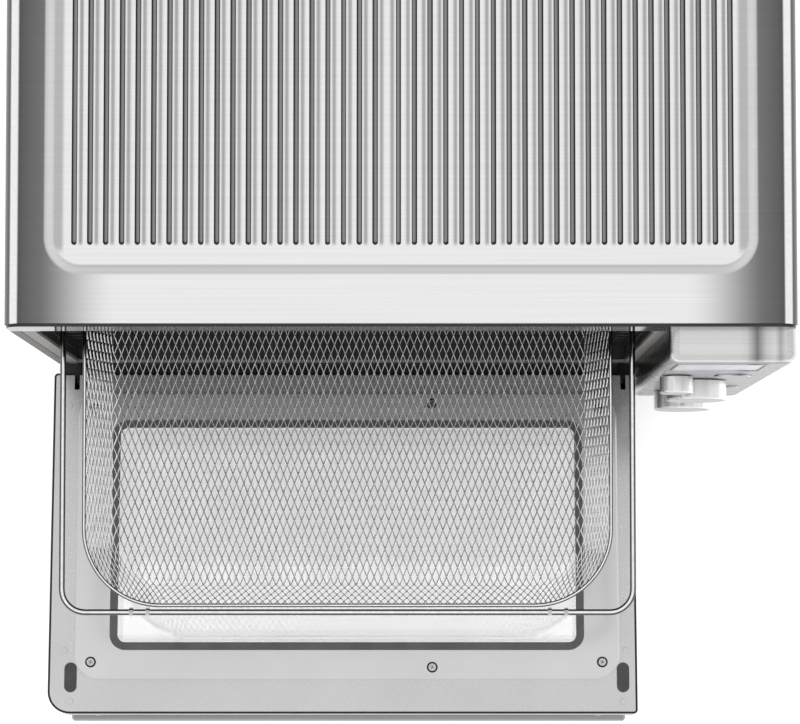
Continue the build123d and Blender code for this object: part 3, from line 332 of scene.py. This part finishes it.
cover_steel = brushed("cover_steel", 0.79, 0.89, 0.3, painted_light=True, strength=0.015)
# Painted shade: the fascia's left and front faces, the door shell's inner face, tip and left face,
# the knobs' fronts and the handle's left face are darkened; the fascia also carries its painted
# dark reflected bands.
steel = brushed("fascia_steel", 0.60, 0.74, 0.26, painted_face_shades=((LEFT, 0.12), (FRONT, 0.45)),
                band=True, dull=True)
shell_steel = brushed("shell_steel", 0.46, 0.56, 0.3,
                      painted_face_shades=((DOOR_IN, 0.08), (DOOR_UP, 0.45), (LEFT, 0.2)))
dark_steel = satin("dark_steel", 0.03, 0.05, 0.4)
plain_steel = satin("plain_steel", 0.36, 0.46, 0.42)
door_plate = satin("door_plate", 0.60, 0.64, 0.2, 0.6, scale=(14, 14, 14), strength=0.01)
door_frame = satin("door_frame", 0.55, 0.59, 0.22, 0.7, scale=(14, 14, 14), strength=0.01)
trim_grey = front_trim()
liner_enamel = plastic("liner_enamel", grey(0.022), 0.38, 0.05, 500)
chrome = polished("chrome", 0.80, 0.92, 0.07, rim=True)
mesh_chrome = polished("mesh_chrome", 0.60, 0.78, 0.16)
plated = polished("plated_steel", 0.5, 0.62, 0.2)
knob_metal = brushed("knob_metal", 0.80, 0.92, 0.24, along="y", painted_face_shades=((FRONT, 0.45),),
                     dull=True)
handle_metal = brushed("handle_metal", 0.29, 0.36, 0.34, painted_face_shades=((LEFT, 0.15),))
heater = plastic("heater_oxide", (0.05, 0.045, 0.042), 0.55, 0.2, 900)
ceramic = plastic("ceramic", (0.72, 0.70, 0.64), 0.5)
tray_coat = plastic("tray_coat", grey(0.05), 0.42, 0.08, 700)
rubber = plastic("rubber", grey(0.055), 0.6, 0.15, 1500)
gasket_rubber = plastic("gasket_rubber", grey(0.088), 0.55, 0.12, 1500)
black_plastic = plastic("black_plastic", grey(0.02), 0.45)
board_green = plastic("board_green", (0.02, 0.10, 0.04), 0.4)
clear_glass = glass("clear_glass", grey(0.985), 0.0, grey(0.965))
display_cover = display()
module_plastic = plastic("module_plastic", (0.5, 0.5, 0.48), 0.5)


# Mesh helpers
def make_piece(name, mesh, material, body, replaced=(), sharp=32):
    """A mesh object that rides on a body, shaded smooth except at its sharp edges."""
    made = bpy.data.objects.new(name, mesh)
    scene.collection.objects.link(made)
    materials = material if isinstance(material, (list, tuple)) else [material]
    for each in materials:
        mesh.materials.append(each)
    mesh.shade_smooth()
    mesh.set_sharp_from_angle(angle=math.radians(sharp))
    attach(made, body)
    if replaced:
        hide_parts(*replaced)
    return made


def mesh_from(name, points, faces):
    mesh = bpy.data.meshes.new(name)
    mesh.from_pydata([tuple(p) for p in points], [], [tuple(f) for f in faces])
    mesh.validate()
    mesh.update()
    return mesh


def joined(name, parts):
    """One mesh of several lists of points and faces."""
    points, faces = [], []
    for part_points, part_faces in parts:
        base = len(points)
        points.extend(part_points)
        faces.extend([tuple(base + i for i in face) for face in part_faces])
    return mesh_from(name, points, faces)


def tube(path, radius, sides=10, closed=False, scale=None):
    """Points and faces of a tube along a path."""
    path = np.array(path, float)
    count = len(path)
    ahead = np.roll(path, -1, 0) - path
    back = path - np.roll(path, 1, 0)
    if not closed:
        ahead[-1] = back[-1]
        back[0] = ahead[0]
    along = ahead / np.linalg.norm(ahead, axis=1)[:, None]
    along = along + back / np.linalg.norm(back, axis=1)[:, None]
    along /= np.linalg.norm(along, axis=1)[:, None]
    side = np.cross(along, [0, 0, 1.0])
    weak = np.linalg.norm(side, axis=1) < 1e-6
    side[weak] = [1.0, 0, 0]
    side /= np.linalg.norm(side, axis=1)[:, None]
    up = np.cross(side, along)
    angles = np.linspace(0, 2 * math.pi, sides, endpoint=False)
    widths = np.full(count, radius) if scale is None else radius * np.array(scale)
    ring = (side[:, None] * np.cos(angles)[None, :, None]
            + up[:, None] * np.sin(angles)[None, :, None])
    points = (path[:, None] + ring * widths[:, None, None]).reshape(-1, 3)
    faces = []
    last = count if closed else count - 1
    for i in range(last):
        j = (i + 1) % count
        for k in range(sides):
            m = (k + 1) % sides
            faces.append((i * sides + k, i * sides + m, j * sides + m, j * sides + k))
    if not closed:
        faces.append(tuple(range(sides)))
        faces.append(tuple(reversed(range((count - 1) * sides, count * sides))))
    return [tuple(p) for p in points], faces


def pierced(outline, holes, thickness):
    """A flat plate mesh with holes, in its own plane, that goes down by its thickness."""
    data = bpy.data.curves.new("flat", "CURVE")
    data.dimensions = "2D"
    data.fill_mode = "BOTH"
    data.extrude = thickness / 2
    for ring in [outline, *holes]:
        spline = data.splines.new("POLY")
        spline.points.add(len(ring) - 1)
        for point, (x, y) in zip(spline.points, ring):
            point.co = (x, y, 0, 1)
        spline.use_cyclic_u = True
    holder = bpy.data.objects.new("flat", data)
    scene.collection.objects.link(holder)
    bpy.context.view_layer.update()
    mesh = bpy.data.meshes.new_from_object(
        holder.evaluated_get(bpy.context.evaluated_depsgraph_get()))
    bpy.data.objects.remove(holder)
    bpy.data.curves.remove(data)
    mesh.materials.clear()
    mesh.transform(Matrix.Translation((0, 0, -thickness / 2)))
    return mesh


def slot_ring(x, y, length, width, steps=8):
    """A slot's outline with round ends, long along X."""
    points = []
    reach = length / 2 - width / 2
    for cx, start in ((reach, -90), (-reach, 90)):
        for i in range(steps + 1):
            angle = math.radians(start + 180 * i / steps)
            points.append((x + cx + width / 2 * math.cos(angle),
                           y + width / 2 * math.sin(angle)))
    return points


# Outer cover: a pressed top with its bead and grooves, rounded long edges and slotted sides.
# Its painted light darkens the steel towards the sides as a painted reflection, and in and beside
# the grooves as painted shade.
HALF = cover_high.x
COVER_TOP = cover_high.z - 1.2 * MM
COVER_ROUND = 14 * MM
COVER_FRONT, COVER_REAR = cover_low.y, cover_high.y
BEAD_HALF = HALF - 28 * MM
BEAD_FRONT, BEAD_BACK = COVER_FRONT + 33 * MM, COVER_REAR - 30 * MM
BEAD_CORNER, BEAD_BAND = 26 * MM, 7.5 * MM
GROOVE_FRONT, GROOVE_BACK = COVER_FRONT + 53.5 * MM, COVER_REAR - 48 * MM
GROOVE_PITCH, GROOVE_GAP, GROOVE_SPLIT = 10.8 * MM, 15.9 * MM, -9.7 * MM
GROOVE_HALF, GROOVE_DEEP, VALLEY_DEEP = 1.8 * MM, 1.1 * MM, 0.16 * MM
BEAD_RISE = 0.6 * MM
SHEET = 0.9 * MM
# Painted reflection: the top darkens towards its sides down to the first number; painted shade: the
# side panels are darkened to the second.
SIDE_PAINTED_REFLECTION, PANEL_PAINTED_SHADE = 0.145, 0.6
left_grooves = [GROOVE_SPLIT - GROOVE_GAP / 2 - i * GROOVE_PITCH for i in range(20)]
right_grooves = [GROOVE_SPLIT + GROOVE_GAP / 2 + i * GROOVE_PITCH for i in range(22)]
grooves = [(x, -1) for x in left_grooves] + [(x, 1) for x in right_grooves]


def smoothstep(edge, other, value):
    t = np.clip((value - edge) / (other - edge), 0, 1)
    return t * t * (3 - 2 * t)


def bead_height(x, y):
    """Height of the bead over the flat top, and how far inside it a place lies."""
    middle_y = (BEAD_FRONT + BEAD_BACK) / 2
    qx = np.abs(x) - (BEAD_HALF - BEAD_CORNER)
    qy = np.abs(y - middle_y) - ((BEAD_BACK - BEAD_FRONT) / 2 - BEAD_CORNER)
    outside = np.hypot(np.maximum(qx, 0), np.maximum(qy, 0))
    inside = np.minimum(np.maximum(qx, qy), 0)
    depth = BEAD_CORNER - outside - inside
    across = np.clip(depth / BEAD_BAND, 0, 1)
    rise = np.where((depth > 0) & (depth < BEAD_BAND), np.sin(math.pi * across) ** 1.2, 0)
    return BEAD_RISE * rise, depth


def cover_lines():
    """Lines of the top's grid, close together where the form changes."""
    reach = HALF - COVER_ROUND
    lines = {-reach, reach}
    for x, side in grooves:
        for offset in (-2.1, -1.8, -1.62, -1.35, -0.9, 0, 0.9, 1.35, 1.62, 1.8, 2.1,
                       3.0, 3.3, 4.4, 5.6, 5.9, 7.2):
            lines.add(x - side * offset * MM)
    lines.add(GROOVE_SPLIT)
    for x in np.arange(BEAD_HALF - BEAD_CORNER - 2 * MM, BEAD_HALF + 1.5 * MM, 0.7 * MM):
        lines.update((-x, x))
    across = [v for v in sorted(lines) if -reach <= v <= reach]
    lines = {COVER_FRONT, COVER_REAR, COVER_REAR - 0.5 * MM, COVER_REAR - 1.5 * MM}
    lines.update(COVER_FRONT + offset * MM for offset in (0.5, 1, 2, 4, 8, 16, 24))
    for start in (BEAD_FRONT, BEAD_BACK - BEAD_CORNER - 2 * MM):
        lines.update(np.arange(start - 1 * MM, start + BEAD_CORNER + 3 * MM, 0.7 * MM))
    for end, way in ((GROOVE_FRONT, 1), (GROOVE_BACK, -1)):
        lines.update(end + way * offset * MM for offset in np.arange(-1.2, 4.4, 0.3))
    lines.update(np.linspace(GROOVE_FRONT + 6 * MM, GROOVE_BACK - 6 * MM, 14))
    along = [v for v in sorted(lines) if COVER_FRONT <= v <= COVER_REAR]
    kept = []
    for group in (across, along):
        slim = [group[0]]
        for value in group[1:]:
            if value - slim[-1] > 0.12 * MM:
                slim.append(value)
        slim[-1] = group[-1]
        kept.append(np.array(slim))
    return kept


def cover_surface(x, y):
    """Height and painted light of the pressed top at each place: painted shade and painted
    reflections.
    """
    height, depth = bead_height(x, y)
    inside = smoothstep(0, BEAD_BAND - 1 * MM, depth)
    # Painted reflection: the flat top grows darker towards its sides.
    painted_light = 1 - (1 - SIDE_PAINTED_REFLECTION) * smoothstep(192 * MM, 256 * MM, np.abs(x))
    painted_light = painted_light + (1 - painted_light) * inside
    # Painted reflection: a light band along the bead, a little darker at its front.
    band = smoothstep(0, 1.4 * MM, depth) * (1 - smoothstep(BEAD_BAND - 1 * MM, BEAD_BAND, depth))
    front = 1 - smoothstep(BEAD_FRONT + BEAD_BAND, BEAD_FRONT + BEAD_CORNER, y)
    front = front * (1 - smoothstep(BEAD_HALF - BEAD_CORNER, BEAD_HALF - 6 * MM, np.abs(x)))
    bead_painted_reflection = 0.80 - 0.09 * front
    painted_light = painted_light + (bead_painted_reflection - painted_light) * band
    # Painted shade beside the bead's inner edge at the sides.
    painted_slope_shade = smoothstep(229 * MM, 232 * MM, np.abs(x)) * smoothstep(
        BEAD_BAND - 1 * MM, BEAD_BAND, depth) * smoothstep(GROOVE_FRONT - 8 * MM, GROOVE_FRONT, y)
    painted_light = painted_light - 0.42 * painted_slope_shade
    ends = smoothstep(GROOVE_FRONT - 1.5 * MM, GROOVE_FRONT + 2.5 * MM, y) * \
        (1 - smoothstep(GROOVE_BACK - 2.5 * MM, GROOVE_BACK + 1.5 * MM, y))
    for middle, side in grooves:
        out = (x - middle) * side
        near = np.abs(x - middle) < 9 * MM
        over = np.maximum(np.maximum(GROOVE_FRONT + GROOVE_HALF - y, 0),
                          np.maximum(y - (GROOVE_BACK - GROOVE_HALF), 0))
        reach = np.hypot(x - middle, over)
        groove = 1 - smoothstep(GROOVE_HALF * 0.62, GROOVE_HALF, reach)
        height = height - np.where(near, GROOVE_DEEP * groove, 0)
        # Painted shade in the grooves: darkest along the outer wall and at the front end.
        wall = smoothstep(0.3, 0.7, out / GROOVE_HALF)
        front_end = smoothstep(GROOVE_FRONT + 3.2 * MM, GROOVE_FRONT + 1.2 * MM, y)
        shade = 0.31 - 0.27 * np.clip(wall + front_end, 0, 1)
        painted_light = np.where(near & (reach < GROOVE_HALF), shade, painted_light)
        inner = -out
        valley = smoothstep(2.7 * MM, 3.6 * MM, inner) * \
            (1 - smoothstep(5.1 * MM, 6.2 * MM, inner))
        slope = np.where(near & (reach >= GROOVE_HALF), valley * ends, 0)
        height = height - VALLEY_DEEP * slope
        # Painted shade on the shallow valley's slope between the grooves.
        painted_light = painted_light - 0.55 * slope
    return height, np.clip(painted_light, 0.04, 1)


def set_painted_light(mesh, values):
    """The painted light and shade that the cover's steel reads at each point."""
    painted_light = mesh.attributes.new("painted_light", "FLOAT", "POINT")
    painted_light.data.foreach_set("value", values.astype(np.float32))


def build_cover_top():
    across, along = cover_lines()
    arc = [math.radians(a) for a in (5, 9, 12, 14, 17, 21, 26, 31, 34, 37, 40, 43, 48, 56, 66,
                                     78, 90)]
    left = [(-(HALF - COVER_ROUND) - COVER_ROUND * math.sin(a), -COVER_ROUND * (1 - math.cos(a)))
            for a in arc]
    columns = [(x, drop) for x, drop in reversed(left)]
    columns += [(x, 0) for x in across]
    columns += [(-x, drop) for x, drop in left]
    xs = np.array([c[0] for c in columns])
    drops = np.array([c[1] for c in columns])
    grid_x, grid_y = np.meshgrid(xs, along)
    height, painted_light = cover_surface(grid_x, grid_y)
    # The rolled long edges: a painted highlight strip between two painted dark reflections
    turn = np.degrees(np.arcsin(np.clip((np.abs(xs) - HALF + COVER_ROUND) / COVER_ROUND, 0, 1)))
    strip = smoothstep(12, 17, turn) * (1 - smoothstep(37, 43, turn))
    painted_light = np.where(turn[None, :] > 0, 0.135 + 0.97 * strip[None, :], painted_light)
    z = COVER_TOP + height + drops[None, :]
    count = len(xs)
    points = np.stack([grid_x, grid_y, z], -1).reshape(-1, 3)
    index = np.arange(len(along) * count).reshape(len(along), count)
    faces = np.stack([index[:-1, :-1], index[:-1, 1:], index[1:, 1:], index[1:, :-1]], -1)
    mesh = mesh_from("cover_top", points, faces.reshape(-1, 4).tolist())
    set_painted_light(mesh, painted_light.reshape(-1))
    top = make_piece("cover_top", mesh, cover_steel, "oven",
                     ("outer_cover",), sharp=50)
    solid = top.modifiers.new("sheet", "SOLIDIFY")
    solid.thickness = SHEET
    solid.offset = -1


def build_cover_sides():
    side_top = COVER_TOP - COVER_ROUND
    vents = [slot_ring(COVER_REAR - 60 * MM, (210 + 9 * (i - 4)) * MM, 36 * MM, 3 * MM)
             for i in range(9)]
    outline = [(COVER_FRONT, cover_low.z), (COVER_REAR, cover_low.z),
               (COVER_REAR, side_top), (COVER_FRONT, side_top)]
    for side in (-1, 1):
        mesh = pierced(outline, vents, 1.0 * MM)
        turn = Matrix(((0, 0, side, side * HALF), (1, 0, 0, 0), (0, 1, 0, 0), (0, 0, 0, 1)))
        mesh.transform(turn)
        if side < 0:
            mesh.flip_normals()
        # Painted shade: the side panels are darkened evenly.
        set_painted_light(mesh, np.full(len(mesh.vertices), PANEL_PAINTED_SHADE))
        make_piece("cover_left_side" if side < 0 else "cover_right_side", mesh, cover_steel,
                   "oven", ("outer_cover",))


build_cover_top()
build_cover_sides()


# Basket: expanded steel mesh pressed over a floor and four leaning walls
walls_low, walls_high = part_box("basket_walls")
floor_low, floor_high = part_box("basket_floor")
rim_low, rim_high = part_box("basket_rim")
BASKET_MIDDLE = ((walls_low.x + walls_high.x) / 2, (walls_low.y + walls_high.y) / 2)
BASKET_TOP = walls_high.z
BASKET_FLOOR = floor_high.z - 0.45 * MM
FLOOR_HALF_X = (floor_high.x - floor_low.x) / 2 - 0.45 * MM
FLOOR_HALF_Y = (floor_high.y - floor_low.y) / 2 - 0.45 * MM
FLOOR_CORNER = 40 * MM
STRAND = 0.42 * MM
WALL_RUN, WALL_RISE = 15.6 * MM, BASKET_TOP - BASKET_FLOOR
WALL_LENGTH = math.hypot(WALL_RUN, WALL_RISE)
CELL_X, CELL_Y = 5.4 * MM, 13.9 * MM
FOLD = 4 * MM


def press(u, v):
    """A place on the flat net as it lies after the net is pressed into the bowl."""
    qx = abs(u) - (FLOOR_HALF_X - FLOOR_CORNER)
    qy = abs(v) - (FLOOR_HALF_Y - FLOOR_CORNER)
    outside = math.hypot(max(qx, 0), max(qy, 0))
    distance = outside + min(max(qx, qy), 0) - FLOOR_CORNER
    if distance <= -FOLD:
        return (BASKET_MIDDLE[0] + u, BASKET_MIDDLE[1] + v, BASKET_FLOOR)
    if outside > 0:
        nx = math.copysign(max(qx, 0) / outside, u)
        ny = math.copysign(max(qy, 0) / outside, v)
    elif qx > qy:
        nx, ny = math.copysign(1, u), 0
    else:
        nx, ny = 0, math.copysign(1, v)
    climb = max(distance, 0)
    bend = min(max((distance + FOLD) / (2 * FOLD), 0), 1)
    lift = WALL_RISE * climb / WALL_LENGTH
    if distance < FOLD:
        lift = WALL_RISE / WALL_LENGTH * FOLD * bend * bend
    run = WALL_RUN * climb / WALL_LENGTH - climb
    return (BASKET_MIDDLE[0] + u + nx * run, BASKET_MIDDLE[1] + v + ny * run,
            BASKET_FLOOR + lift)


def inside_net(u, v):
    """Whether a place on the flat net lies within the walls' upper edge."""
    qx = abs(u) - (FLOOR_HALF_X - FLOOR_CORNER)
    qy = abs(v) - (FLOOR_HALF_Y - FLOOR_CORNER)
    outside = math.hypot(max(qx, 0), max(qy, 0))
    return outside + min(max(qx, qy), 0) - FLOOR_CORNER <= WALL_LENGTH


def build_basket():
    half_u, half_v = FLOOR_HALF_X + WALL_LENGTH, FLOOR_HALF_Y + WALL_LENGTH
    step = 4
    reach = int(half_u / CELL_X + half_v / CELL_Y) + 2
    parts = []
    for family in (-1, 1):
        for k in range(-reach, reach + 1):
            run, widths = [], []
            rows = int(half_v / (CELL_Y / 2 / step)) + 1
            for j in range(-rows, rows + 1):
                v = j * CELL_Y / 2 / step
                u = (k + family * v / CELL_Y) * CELL_X
                place = j / step
                node = abs(place - round(place)) * 2
                if inside_net(u, v) and abs(u) <= half_u:
                    run.append(press(u, v))
                    widths.append(1.0 + 0.45 * max(0, 1 - node * 2.2))
                elif run:
                    if len(run) > 2:
                        parts.append(tube(run, STRAND, 4, scale=widths))
                    run, widths = [], []
            if len(run) > 2:
                parts.append(tube(run, STRAND, 4, scale=widths))
    mesh = joined("basket_mesh", parts)
    make_piece("basket_mesh", mesh, mesh_chrome, "basket",
               ("basket_walls", "basket_floor"), sharp=60)


build_basket()


# Door and sill details
def door_point(x, row, level):
    """A place on the open door: along X, up the door from its hinge, and out of its inner face."""
    return Vector((x, hinge_point.y, hinge_point.z)) + DOOR_UP * row + DOOR_IN * level


def build_screw_painted_shade():
    """Painted shade: a dark ring round each door screw and a dark cross for the recess in its head.
    """
    head_radius, ring_radius, arm_reach, arm_turn = 3.5 * MM, 3.75 * MM, 1.7 * MM, 0.5
    ring_level, arm_level = 17.15 * MM, 17.95 * MM
    low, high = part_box("door_screws")
    left, middle, right = low.x + head_radius, 24 * MM, high.x - head_radius
    parts = []
    for x, row in ((left, 222.8 * MM), (middle, 226.8 * MM), (right, 222.8 * MM),
                   (left, 24.6 * MM), (middle, 20.6 * MM), (right, 24.6 * MM)):
        ring = [door_point(x + ring_radius * math.cos(a), row + ring_radius * math.sin(a),
                           ring_level)
                for a in np.linspace(0, 2 * math.pi, 32, endpoint=False)]
        parts.append(tube(ring, 0.42 * MM, 6, closed=True))
        for turn in (arm_turn, arm_turn + math.pi / 2):
            arm = [door_point(x + reach * math.cos(turn), row + reach * math.sin(turn), arm_level)
                   for reach in np.linspace(-arm_reach, arm_reach, 5)]
            parts.append(tube(arm, 0.3 * MM, 6))
    make_piece("screw_painted_shade", joined("screw_painted_shade", parts), dark_steel, "door")


def build_sill():
    """A black sill strip on the front frame, between the hinges and the crumb tray."""
    left, right = -269 * MM, 182.5 * MM
    profile = [(-50.3, 45.3), (-59.9, 45.3), (-60.7, 44.7), (-60.7, 43.9), (-60.2, 43.5),
               (-50.3, 43.5)]
    points = [(x, y * MM, z * MM) for x in (left, right) for y, z in profile]
    count = len(profile)
    faces = [(i, (i + 1) % count, count + (i + 1) % count, count + i) for i in range(count)]
    faces += [tuple(reversed(range(count))), tuple(range(count, 2 * count))]
    strip = make_piece("sill_strip", mesh_from("sill_strip", points, faces), liner_enamel, "oven")
    soft = strip.modifiers.new("edges", "BEVEL")
    soft.width = 0.2 * MM
    soft.segments = 2


build_screw_painted_shade()
build_sill()


# Finish of every node that keeps its CAD form
finishes = {
    cover_steel: ("outer_cover",),
    trim_grey: ("front_frame",),
    plain_steel: ("base_pan", "rear_panel", "fan_housing", "fan_motor"),
    dark_steel: ("hinge_brackets", "hinge_ears", "hinge_pins"),
    rubber: ("feet", "door_bumpers"),
    black_plastic: ("cord_inlet", "knob_encoders", "button_switches"),
    liner_enamel: ("cavity_liner", "left_rack_rail", "right_rack_rail", "fan_cover",
                   "convection_fan"),
    heater: ("upper_heaters", "lower_heaters"),
    ceramic: ("heater_bushes",),
    tray_coat: ("crumb_tray", "crumb_tray_front"),
    steel: ("control_fascia", "fascia_base", "display_bezel", "round_button", "small_button"),
    shell_steel: ("door_outer_shell",),
    door_frame: ("door_inner_frame", "door_rivets"),
    door_plate: ("door_inner_plate",),
    gasket_rubber: ("window_gasket",),
    clear_glass: ("inner_glass", "outer_glass"),
    handle_metal: ("handle_bar", "handle_posts"),
    chrome: ("basket_carrier", "basket_rim"),
    mesh_chrome: ("basket_walls", "basket_floor"),
    display_cover: ("display_window",),
    module_plastic: ("display_module",),
    board_green: ("control_board",),
    knob_metal: ("upper_knob", "middle_knob", "lower_knob"),
    plated: ("rear_screws", "fan_shaft", "door_screws", "basket_clips", "temperature_probe",
             "upper_spindle", "middle_spindle", "lower_spindle"),
}
for material, names in finishes.items():
    for name in names:
        data = nodes[name].data
        data.materials.clear()
        data.materials.append(material)


# Stage: a pale floor, a soft white world and two wide lamps
def build_floor():
    """A floor that the camera, gloss and glass see as white, and that keeps its shadow."""
    mesh = mesh_from("floor", [(-6, -6, 0), (6, -6, 0), (6, 6, 0), (-6, 6, 0)], [(0, 1, 2, 3)])
    floor = bpy.data.objects.new("floor", mesh)
    scene.collection.objects.link(floor)
    shader = Shader("floor_white", grey(0.8), 0.9)
    grain = shader.noise((3, 3, 3), 2)
    shader.paint(shader.ramp(grain, (0.3, grey(0.795)), (0.7, grey(0.805))))
    path = shader.node("ShaderNodeLightPath")
    seen = shader.node("ShaderNodeMath", operation="MAXIMUM")
    shader.link(path.outputs["Is Camera Ray"], seen.inputs[0])
    shader.link(path.outputs["Is Glossy Ray"], seen.inputs[1])
    through = shader.node("ShaderNodeMath", operation="MAXIMUM")
    shader.link(seen.outputs[0], through.inputs[0])
    shader.link(path.outputs["Is Transmission Ray"], through.inputs[1])
    glow = shader.node("ShaderNodeEmission", Strength=0.45)
    none = shader.node("ShaderNodeEmission", Strength=0.0)
    chosen = shader.node("ShaderNodeMixShader")
    shader.link(through.outputs[0], chosen.inputs[0])
    shader.link(none.outputs[0], chosen.inputs[1])
    shader.link(glow.outputs[0], chosen.inputs[2])
    both = shader.node("ShaderNodeAddShader")
    shader.link(chosen.outputs[0], both.inputs[0])
    shader.link(shader.main.outputs[0], both.inputs[1])
    shader.link(both.outputs[0], shader.tree.nodes["Material Output"].inputs["Surface"])
    mesh.materials.append(shader.material)


def build_world():
    """A soft white sky, a little darker in a low belt, and plain white where it is seen."""
    world = bpy.data.worlds.new("studio")
    scene.world = world
    world.use_nodes = True
    tree = world.node_tree
    tree.nodes.clear()
    place = tree.nodes.new("ShaderNodeTexCoord")
    flat = tree.nodes.new("ShaderNodeVectorMath")
    flat.operation = "MULTIPLY"
    flat.inputs[1].default_value = (1, 1, 0)
    tree.links.new(place.outputs["Generated"], flat.inputs[0])
    size = tree.nodes.new("ShaderNodeVectorMath")
    size.operation = "LENGTH"
    tree.links.new(flat.outputs["Vector"], size.inputs[0])
    ramp = tree.nodes.new("ShaderNodeValToRGB")
    stops = [(0.0, 1.0), (0.42, 1.0), (0.48, 0.8), (0.62, 0.78), (0.70, 0.95), (1.0, 0.9)]
    elements = ramp.color_ramp.elements
    while len(elements) < len(stops):
        elements.new(0.5)
    for element, (spot, value) in zip(elements, stops):
        element.position = spot
        element.color = (value, value, value, 1)
    tree.links.new(size.outputs["Value"], ramp.inputs["Fac"])
    soft = tree.nodes.new("ShaderNodeBackground")
    soft.inputs["Strength"].default_value = 1.0
    tree.links.new(ramp.outputs["Color"], soft.inputs["Color"])
    white = tree.nodes.new("ShaderNodeBackground")
    white.inputs["Color"].default_value = (1, 1, 1, 1)
    white.inputs["Strength"].default_value = 1.0
    path = tree.nodes.new("ShaderNodeLightPath")
    seen = tree.nodes.new("ShaderNodeMath")
    seen.operation = "MAXIMUM"
    tree.links.new(path.outputs["Is Camera Ray"], seen.inputs[0])
    tree.links.new(path.outputs["Is Transmission Ray"], seen.inputs[1])
    mixed = tree.nodes.new("ShaderNodeMixShader")
    tree.links.new(seen.outputs[0], mixed.inputs["Fac"])
    tree.links.new(soft.outputs[0], mixed.inputs[1])
    tree.links.new(white.outputs[0], mixed.inputs[2])
    out = tree.nodes.new("ShaderNodeOutputWorld")
    tree.links.new(mixed.outputs[0], out.inputs["Surface"])


def build_lamps():
    """Two wide lamps, hidden from gloss, that point at the oven's middle."""
    target = Vector((0, -0.05, 0.15))
    for name, place, size, power in (("lamp_over", (0.0, -0.6, 3.4), 2.4, 26),
                                     ("lamp_front", (0.2, -3.0, 1.6), 1.8, 14)):
        data = bpy.data.lights.new(name, "AREA")
        data.size = size
        data.energy = power
        lamp = bpy.data.objects.new(name, data)
        lamp.visible_glossy = False
        scene.collection.objects.link(lamp)
        lamp.location = place
        lamp.rotation_euler = (target - Vector(place)).to_track_quat("-Z", "Y").to_euler()


build_floor()
build_world()
build_lamps()
scene.view_settings.view_transform = "Standard"
